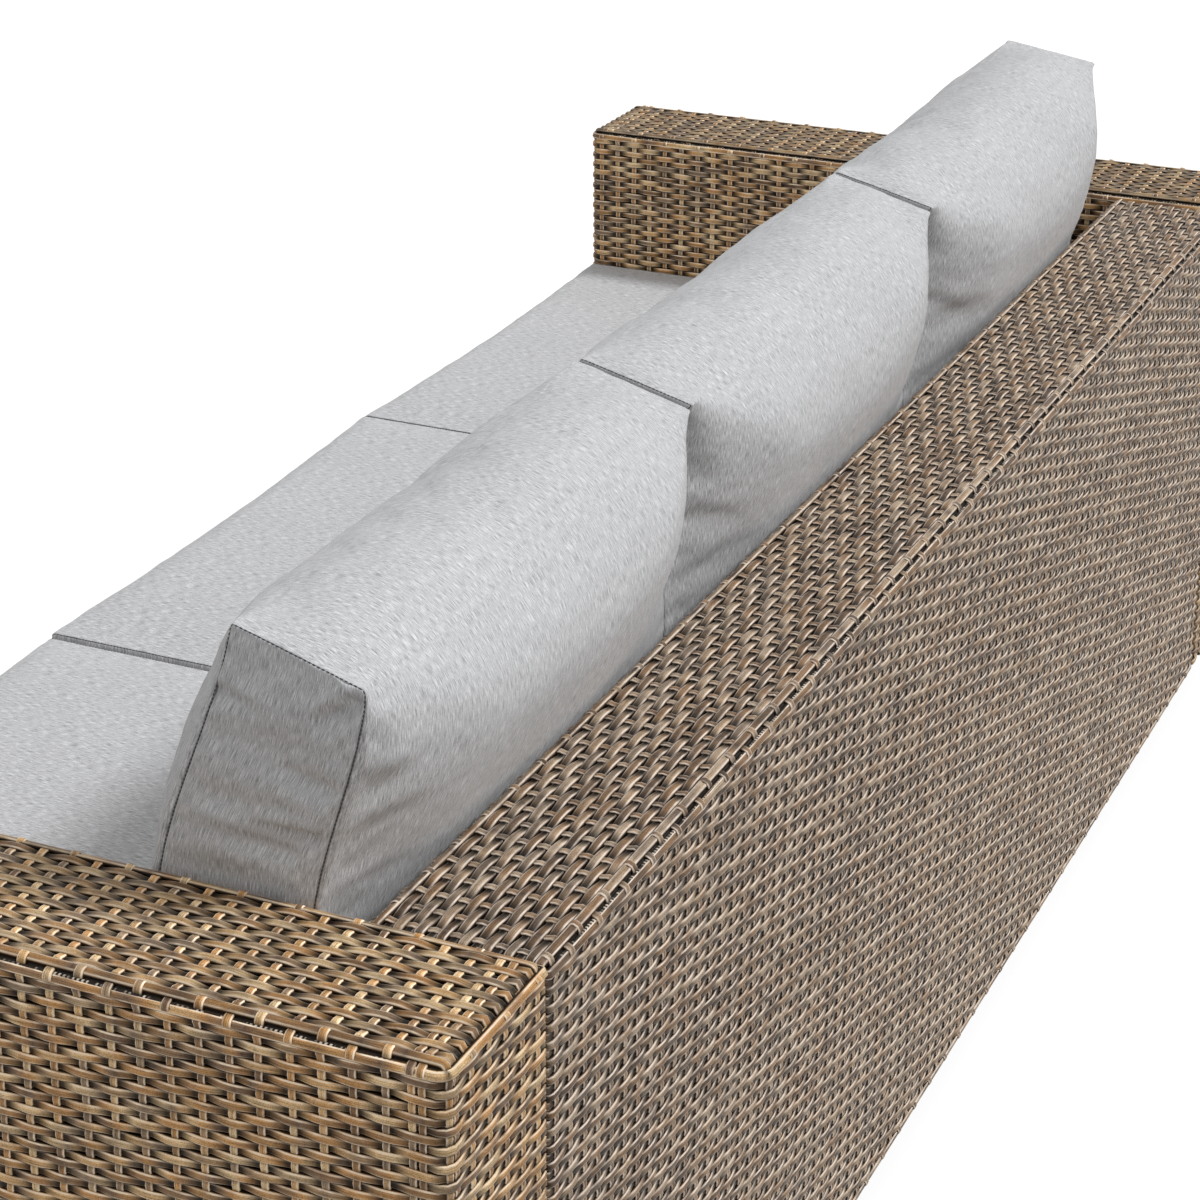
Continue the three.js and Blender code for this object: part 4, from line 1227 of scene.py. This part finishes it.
    def inflate(self, cap, slack):
        """Swells the fabric with a cloth simulation while its seams are held, so that it strains and creases.
        slack is how much spare cloth there is, between the seams and beside them."""
        scene = bpy.context.scene
        sewn = np.concatenate(self.seams)
        start = self.points + self.rng.normal(0, CLOTH_ROUGHNESS, self.points.shape)
        start[sewn] = self.points[sewn]
        mesh = bpy.data.meshes.new("cloth")
        mesh.from_pydata(start.tolist(), [], self.quads.tolist())
        sheet = bpy.data.objects.new("cloth", mesh)
        scene.collection.objects.link(sheet)
        sheet.vertex_groups.new(name="sewn").add(sewn.tolist(), 1.0, "REPLACE")
        away = sheet.vertex_groups.new(name="away")
        sleeve = np.arange(len(start)) < len(self.seams[0]) * len(self.x_shares)
        to_side = np.minimum(self.shares, 1 - self.shares) * (2 * self.half, self.depth, self.height)
        to_seam = np.where(sleeve, to_side[:, 0], to_side[:, 1:].min(axis=1))
        for index, weight in enumerate(1 - np.exp(-to_side[:, 0] / SEWN_REACH)):
            away.add([index], float(weight), "REPLACE")
        settings = sheet.modifiers.new("cloth", "CLOTH").settings
        settings.quality = CLOTH_QUALITY
        settings.use_pressure = True
        settings.uniform_pressure_force = CLOTH_PRESSURE
        settings.effector_weights.gravity = 0
        settings.bending_stiffness = CLOTH_BENDING
        settings.vertex_group_mass = "sewn"
        settings.vertex_group_shrink = "away"
        settings.shrink_min = -slack[1]
        settings.shrink_max = -slack[0]
        for number in range(1, CLOTH_FRAMES + 1):
            scene.frame_set(number)
        swelled = coordinates(sheet.evaluated_get(bpy.context.evaluated_depsgraph_get()).data)
        scene.frame_set(1)
        bpy.data.objects.remove(sheet)

        # The broad swelling and the folds are each kept within a limit, which is small beside the seams
        moved = swelled - self.points
        broad = self.eased(moved)
        full_at = np.where(sleeve, self.reaches[1], PANEL_FULL_AT)
        limit = (LEAST_CAP + np.where(sleeve, cap, PANEL_CAP) * smooth(to_seam / full_at))[:, None]
        fold_limit = (LEAST_CAP + FOLD_CAP * smooth(to_seam / FOLD_FULL_AT))[:, None]
        held = self.points[sewn]
        for part, most in ((broad, limit), (moved - broad, fold_limit)):
            length = lengths(part)
            self.points = self.points + part * most / length * np.tanh(length / most)
        self.points[sewn] = held
        reach = self.half + SEAM_REACH
        self.points[sleeve, 0] = np.clip(self.points[sleeve, 0], self.middle - reach, self.middle + reach)

    def eased(self, values):
        """The broad part of a change: each point takes on some of what its neighbours do, many times over."""
        one, other = self.quads.ravel(), np.roll(self.quads, -1, axis=1).ravel()
        given, taken = np.concatenate([one, other]), np.concatenate([other, one])
        count = len(self.points)
        share = np.bincount(taken, minlength=count)
        for _ in range(EASE_ROUNDS):
            sums = [np.bincount(taken, weights=values[given, k], minlength=count) for k in range(3)]
            values = (values + np.stack(sums, -1) / share[:, None]) / 2
        return values

    def settle(self, room):
        """Flattens the cushion where it rests on the sofa or on its neighbours."""
        low, high = (np.array(corner) + past for corner, past in zip(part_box(self.node), room))
        self.points = np.clip(self.points, low, high)

    def press_down(self, height):
        """Presses the seat cushion's top down to this height where a back cushion rests on it."""
        free = smooth((SEAT_PRESSED_FROM - self.points[:, 1]) / PRESS_WIDTH)
        self.points[:, 2] = np.minimum(self.points[:, 2], height - SEAT_PRESS + PRESS_STEP * free)

    def lean_on_back(self):
        """Keeps the cushion in front of the woven back, and clear above its top edge."""
        beside = smooth((back_high.z + BACK_CLEAR - self.points[:, 2]) / BACK_CLEAR_WIDTH)
        limit = back_low.y - BACK_TOUCH + (1 - beside) * BACK_OVERHANG
        self.points[:, 1] = np.minimum(self.points[:, 1], limit)

    def keep_between(self, low, high, bulges):
        """Keeps the end panels off their neighbours. Above the arms each may stand out by its bulge."""
        above = smooth((self.points[:, 2] - arm_top - BULGE_ABOVE_ARM) / BULGE_RISE)
        rooms = [END_ROOM + bulge * above for bulge in bulges]
        self.points[:, 0] = np.clip(self.points[:, 0], low - rooms[0], high + rooms[1])

    def sink_seams(self):
        """Draws the sewn edges in, and keeps the way out of each groove for its stitches."""
        self.ways = []
        for seam, sign in zip(self.seams, (-1, 1)):
            loop = self.points[seam]
            along = np.roll(loop, -1, axis=0) - np.roll(loop, 1, axis=0)
            out = unit(np.stack([np.zeros(len(loop)), -along[:, 2], along[:, 1]], -1))
            way = unit(out + np.array([sign, 0, 0]))
            self.points[seam] -= way * SEAM_SINK
            self.ways.append(way)

    def make(self, fabric, thread, fill, folds=()):
        """Builds the fabric and the stitches, and creases the fabric."""
        sewn = np.zeros(len(self.points))
        sewn[np.concatenate(self.seams)] = 1
        mesh = quad_mesh(f"{self.node}_fabric", self.points, self.quads, {"sewn": sewn})
        add_map(mesh, "fabric", self.flats)
        wide = 2 * self.half
        starts = np.array([0.0, wide + PIECE_GAP, wide + self.depth + 2 * PIECE_GAP])[self.panel.astype(int)]
        spread = self.flats + np.stack([starts, 0 * starts], -1)[:, None, :]
        add_map(mesh, "OFBake", spread / spread.max())
        piece = dress(mesh.name, mesh, fabric, self.node, "cushion_fabric", self.node)
        rounding = piece.modifiers.new("smooth", "SUBSURF")
        rounding.levels = rounding.render_levels = 1
        result = piece.evaluated_get(bpy.context.evaluated_depsgraph_get())
        final = bpy.data.meshes.new_from_object(result)
        piece.modifiers.clear()
        piece.data = final
        places = coordinates(final)
        self.stitch(places, thread)
        corners = np.zeros(len(final.loops), np.int32)
        final.loops.foreach_get("vertex_index", corners)
        self.crease(places, corners.reshape(len(self.quads), -1), folds)
        final.vertices.foreach_set("co", places.astype(np.float32).ravel())
        final.update()

    def crease(self, places, corners, folds):
        """Creases of given depth and breadth: a low ridge over a hollow, fading out along its line."""
        at_rear = (self.panel == 0) & (self.shares[self.quads, 1] == 1).all(axis=1)
        for face, start, end, depth, breadth in folds:
            out, quads = (0, self.panel == 2) if face == "end" else (1, at_rear)
            chosen = np.unique(corners[quads])
            spots = places[chosen][:, [1 - out, 2]]
            line = np.array(end) - np.array(start)
            length = np.linalg.norm(line)
            line = line / length
            across = np.array([-line[1], line[0]]) * np.sign(line[0])
            along = (spots - start) @ line / length
            off = (spots - start) @ across / breadth
            fade = smooth(along / FOLD_FADES[0]) * smooth((1 - along) / FOLD_FADES[1])
            shape = RIDGE_SHARE * np.exp(-(off - RIDGE_PLACE) ** 2) - np.exp(-off ** 2)
            places[chosen, out] += depth * fade * shape

    def stitch(self, places, thread):
        """Short stitches along both sewn edges."""
        verts = []
        for seam, way in zip(self.seams, self.ways):
            loop = places[np.append(seam, seam[0])]
            steps = np.linalg.norm(np.diff(loop, axis=0), axis=1)
            run = np.concatenate([[0], np.cumsum(steps)])
            count = int(run[-1] / STITCH_PITCH)
            middles = (np.arange(count) + 0.5) * run[-1] / count
            start, end = (interpolated(middles + sign * STITCH_LENGTH / 2, run, loop) for sign in (-1, 1))
            out = unit(interpolated(middles, run, np.concatenate([way, way[:1]])))
            across = np.cross(unit(end - start), out)
            rings = []
            for share, breadth in STITCH_RINGS:
                centre = between(start, end, share) + out * STITCH_LIFT
                turned = [across, out, -across, -out]
                rings.append(np.stack([centre + t * STITCH_RADIUS * breadth for t in turned], 1))
            verts.append(np.stack(rings, 1))
        verts = np.concatenate(verts)
        quads = np.concatenate(tube_quads(np.arange(len(verts) * 16).reshape(-1, 4, 4)))
        mesh = quad_mesh(f"{self.node}_stitches", verts.reshape(-1, 3), quads, {})
        dress(mesh.name, mesh, thread, self.node, "cushion_fabric", self.node)


def fabric_material():
    """Light grey outdoor cloth with fine darker streaks that run round the cushion, and painted shade along
    the sewn edges.
    """
    n = Nodes("grey_heathered_fabric")
    flat = n.node("ShaderNodeUVMap", {}, uv_map="fabric").outputs["UV"]
    fine = n.noise(n.stretched(flat, (1800.0, 110.0, 1.0)), 1.0, 2.0, 0.6)
    slub = n.noise(n.stretched(flat, (420.0, 22.0, 1.0)), 1.0)
    broad = n.noise(flat, 9.0)
    speck = n.noise(n.stretched(flat, (1900.0, 700.0, 1.0)), 1.0, 1.0)
    thread = n.node("ShaderNodeTexWave", {"Vector": flat, "Scale": 190.0, "Distortion": 1.5, "Detail": 1.0})
    shade = n.plus(n.span(fine, 0.30, 0.70, -0.54, 0.48), n.span(slub, 0.3, 0.7, -0.04, 0.04),
                   n.span(broad, 0.3, 0.7, 0.98, 1.02), n.span(speck, 0.3, 0.7, -0.12, 0.12))
    # Painted shade of the groove along the sewn edges
    seam = n.span(n.attribute("sewn"), 0.45, 0.85, 0.0, 0.72)
    n.shade("Base Color", n.mix(seam, n.shaded(FABRIC_COLOUR, shade), SEAM_SHADE_COLOUR))
    n.shade("Roughness", n.span(fine, 0.3, 0.7, 0.82, 0.95))
    n.shade("Specular IOR Level", 0.25)
    n.shade("Sheen Weight", 0.15)
    n.shade("Sheen Roughness", 0.5)
    n.bump(n.plus(fine, n.times(thread.outputs["Fac"], 0.4), n.times(slub, 0.6)), 0.4, 0.0004)
    return n.owner


def thread_material():
    n = Nodes("dark_thread")
    twist = n.noise(n.place(), 2500.0)
    n.mottled(twist, ((0.3, (0.020, 0.020, 0.022)), (0.7, (0.060, 0.060, 0.064))), (0.3, 0.7, 0.6, 0.8))
    n.bump(twist, 0.3, 0.0002)
    return n.owner


fabric, thread = fabric_material(), thread_material()
arm_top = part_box("arm_weave_left")[1].z
for number, rises in enumerate(SEAT_RISES, start=1):
    node = f"seat_cushion_{number}"
    low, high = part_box(node)
    top = high.z + SEAT_SEAM_RISE
    section = ((low.y, low.z), (high.y, low.z), (low.y, top), (high.y, top))
    leans = [[(0, rise)] * 2 for rise in rises]
    cushion = Cushion(node, section, SEAT_ROUNDINGS, SEAT_CROWNS, SEAT_REACHES, 100 + number, leans)
    cushion.inflate(SEAT_CAP, SEAT_SLACK)
    cushion.settle(SEAT_ROOM)
    cushion.press_down(high.z)
    cushion.sink_seams()
    cushion.make(fabric, thread, SEAT_FILL)

for number, (leans, pinches, folds) in enumerate(zip(LEANS, PINCHES, FOLDS), start=1):
    node = f"back_cushion_{number}"
    low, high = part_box(node)
    reaches = (LOW_FRONT_REACH, LOW_REAR_REACH, TOP_FRONT_REACH, TOP_REAR_REACH)
    heights = (low.z, low.z, TOP_FRONT_Z, TOP_REAR_Z)
    section = [(back_low.y - reach, z) for reach, z in zip(reaches, heights)]
    cushion = Cushion(node, section, BACK_ROUNDINGS, BACK_CROWNS, BACK_REACHES, 200 + number, leans, pinches)
    cushion.inflate(BACK_CAP, BACK_SLACK)
    cushion.settle(BACK_ROOM)
    cushion.lean_on_back()
    cushion.keep_between(low.x, high.x, BULGES[number - 1])
    cushion.sink_seams()
    cushion.make(fabric, thread, BACK_FILL, folds)

# Stage


def make_stage():
    scene = bpy.context.scene
    half = FLOOR_SIDE / 2
    corners = [(-half, -half, 0), (half, -half, 0), (half, half, 0), (-half, half, 0)]
    floor_mesh = bpy.data.meshes.new("floor")
    floor_mesh.from_pydata(corners, [], [(0, 1, 2, 3)])
    floor = bpy.data.objects.new("floor", floor_mesh)
    scene.collection.objects.link(floor)
    n = Nodes("floor")
    n.shade("Base Color", (*FLOOR_COLOUR, 1))
    n.shade("Roughness", 0.9)
    n.shade("Emission Color", (1, 1, 1, 1))
    n.shade("Emission Strength", n.times(n.seen(), FLOOR_GLOW))
    floor_mesh.materials.append(n.owner)

    n = Nodes("studio", bpy.data.worlds, "Background")
    n.shade("Color", (1, 1, 1, 1))
    n.shade("Strength", n.span(n.seen(), 0.0, 1.0, WORLD_STRENGTH, BACKGROUND_STRENGTH))
    scene.world = n.owner

    for name, (strength, spread, source) in LAMPS.items():
        lamp = bpy.data.lights.new(name, "SUN")
        lamp.energy = strength
        lamp.angle = math.radians(spread)
        shining = bpy.data.objects.new(name, lamp)
        shining.rotation_euler = Vector(source).to_track_quat("Z", "Y").to_euler()
        scene.collection.objects.link(shining)


def make_camera():
    scene = bpy.context.scene
    data = bpy.data.cameras.new("camera")
    data.sensor_width = SENSOR_WIDTH
    data.lens = FOCAL_PIXELS / IMAGE_SIDE * SENSOR_WIDTH
    data.shift_y = (CENTRE_ROW - IMAGE_SIDE / 2) / IMAGE_SIDE
    data.clip_end = 100
    camera = bpy.data.objects.new("camera", data)
    yaw, pitch = math.radians(CAMERA_YAW), math.radians(CAMERA_PITCH)
    back = Vector((math.cos(yaw) * math.cos(pitch), math.sin(yaw) * math.cos(pitch), math.sin(pitch)))
    right = Vector((-math.sin(yaw), math.cos(yaw), 0))
    turn = Matrix((right, back.cross(right), back)).transposed()
    camera.matrix_world = Matrix.LocRotScale(CAMERA_PLACE, turn, None)
    scene.collection.objects.link(camera)
    scene.camera = camera
    scene.view_settings.view_transform = "Standard"


make_stage()
make_camera()
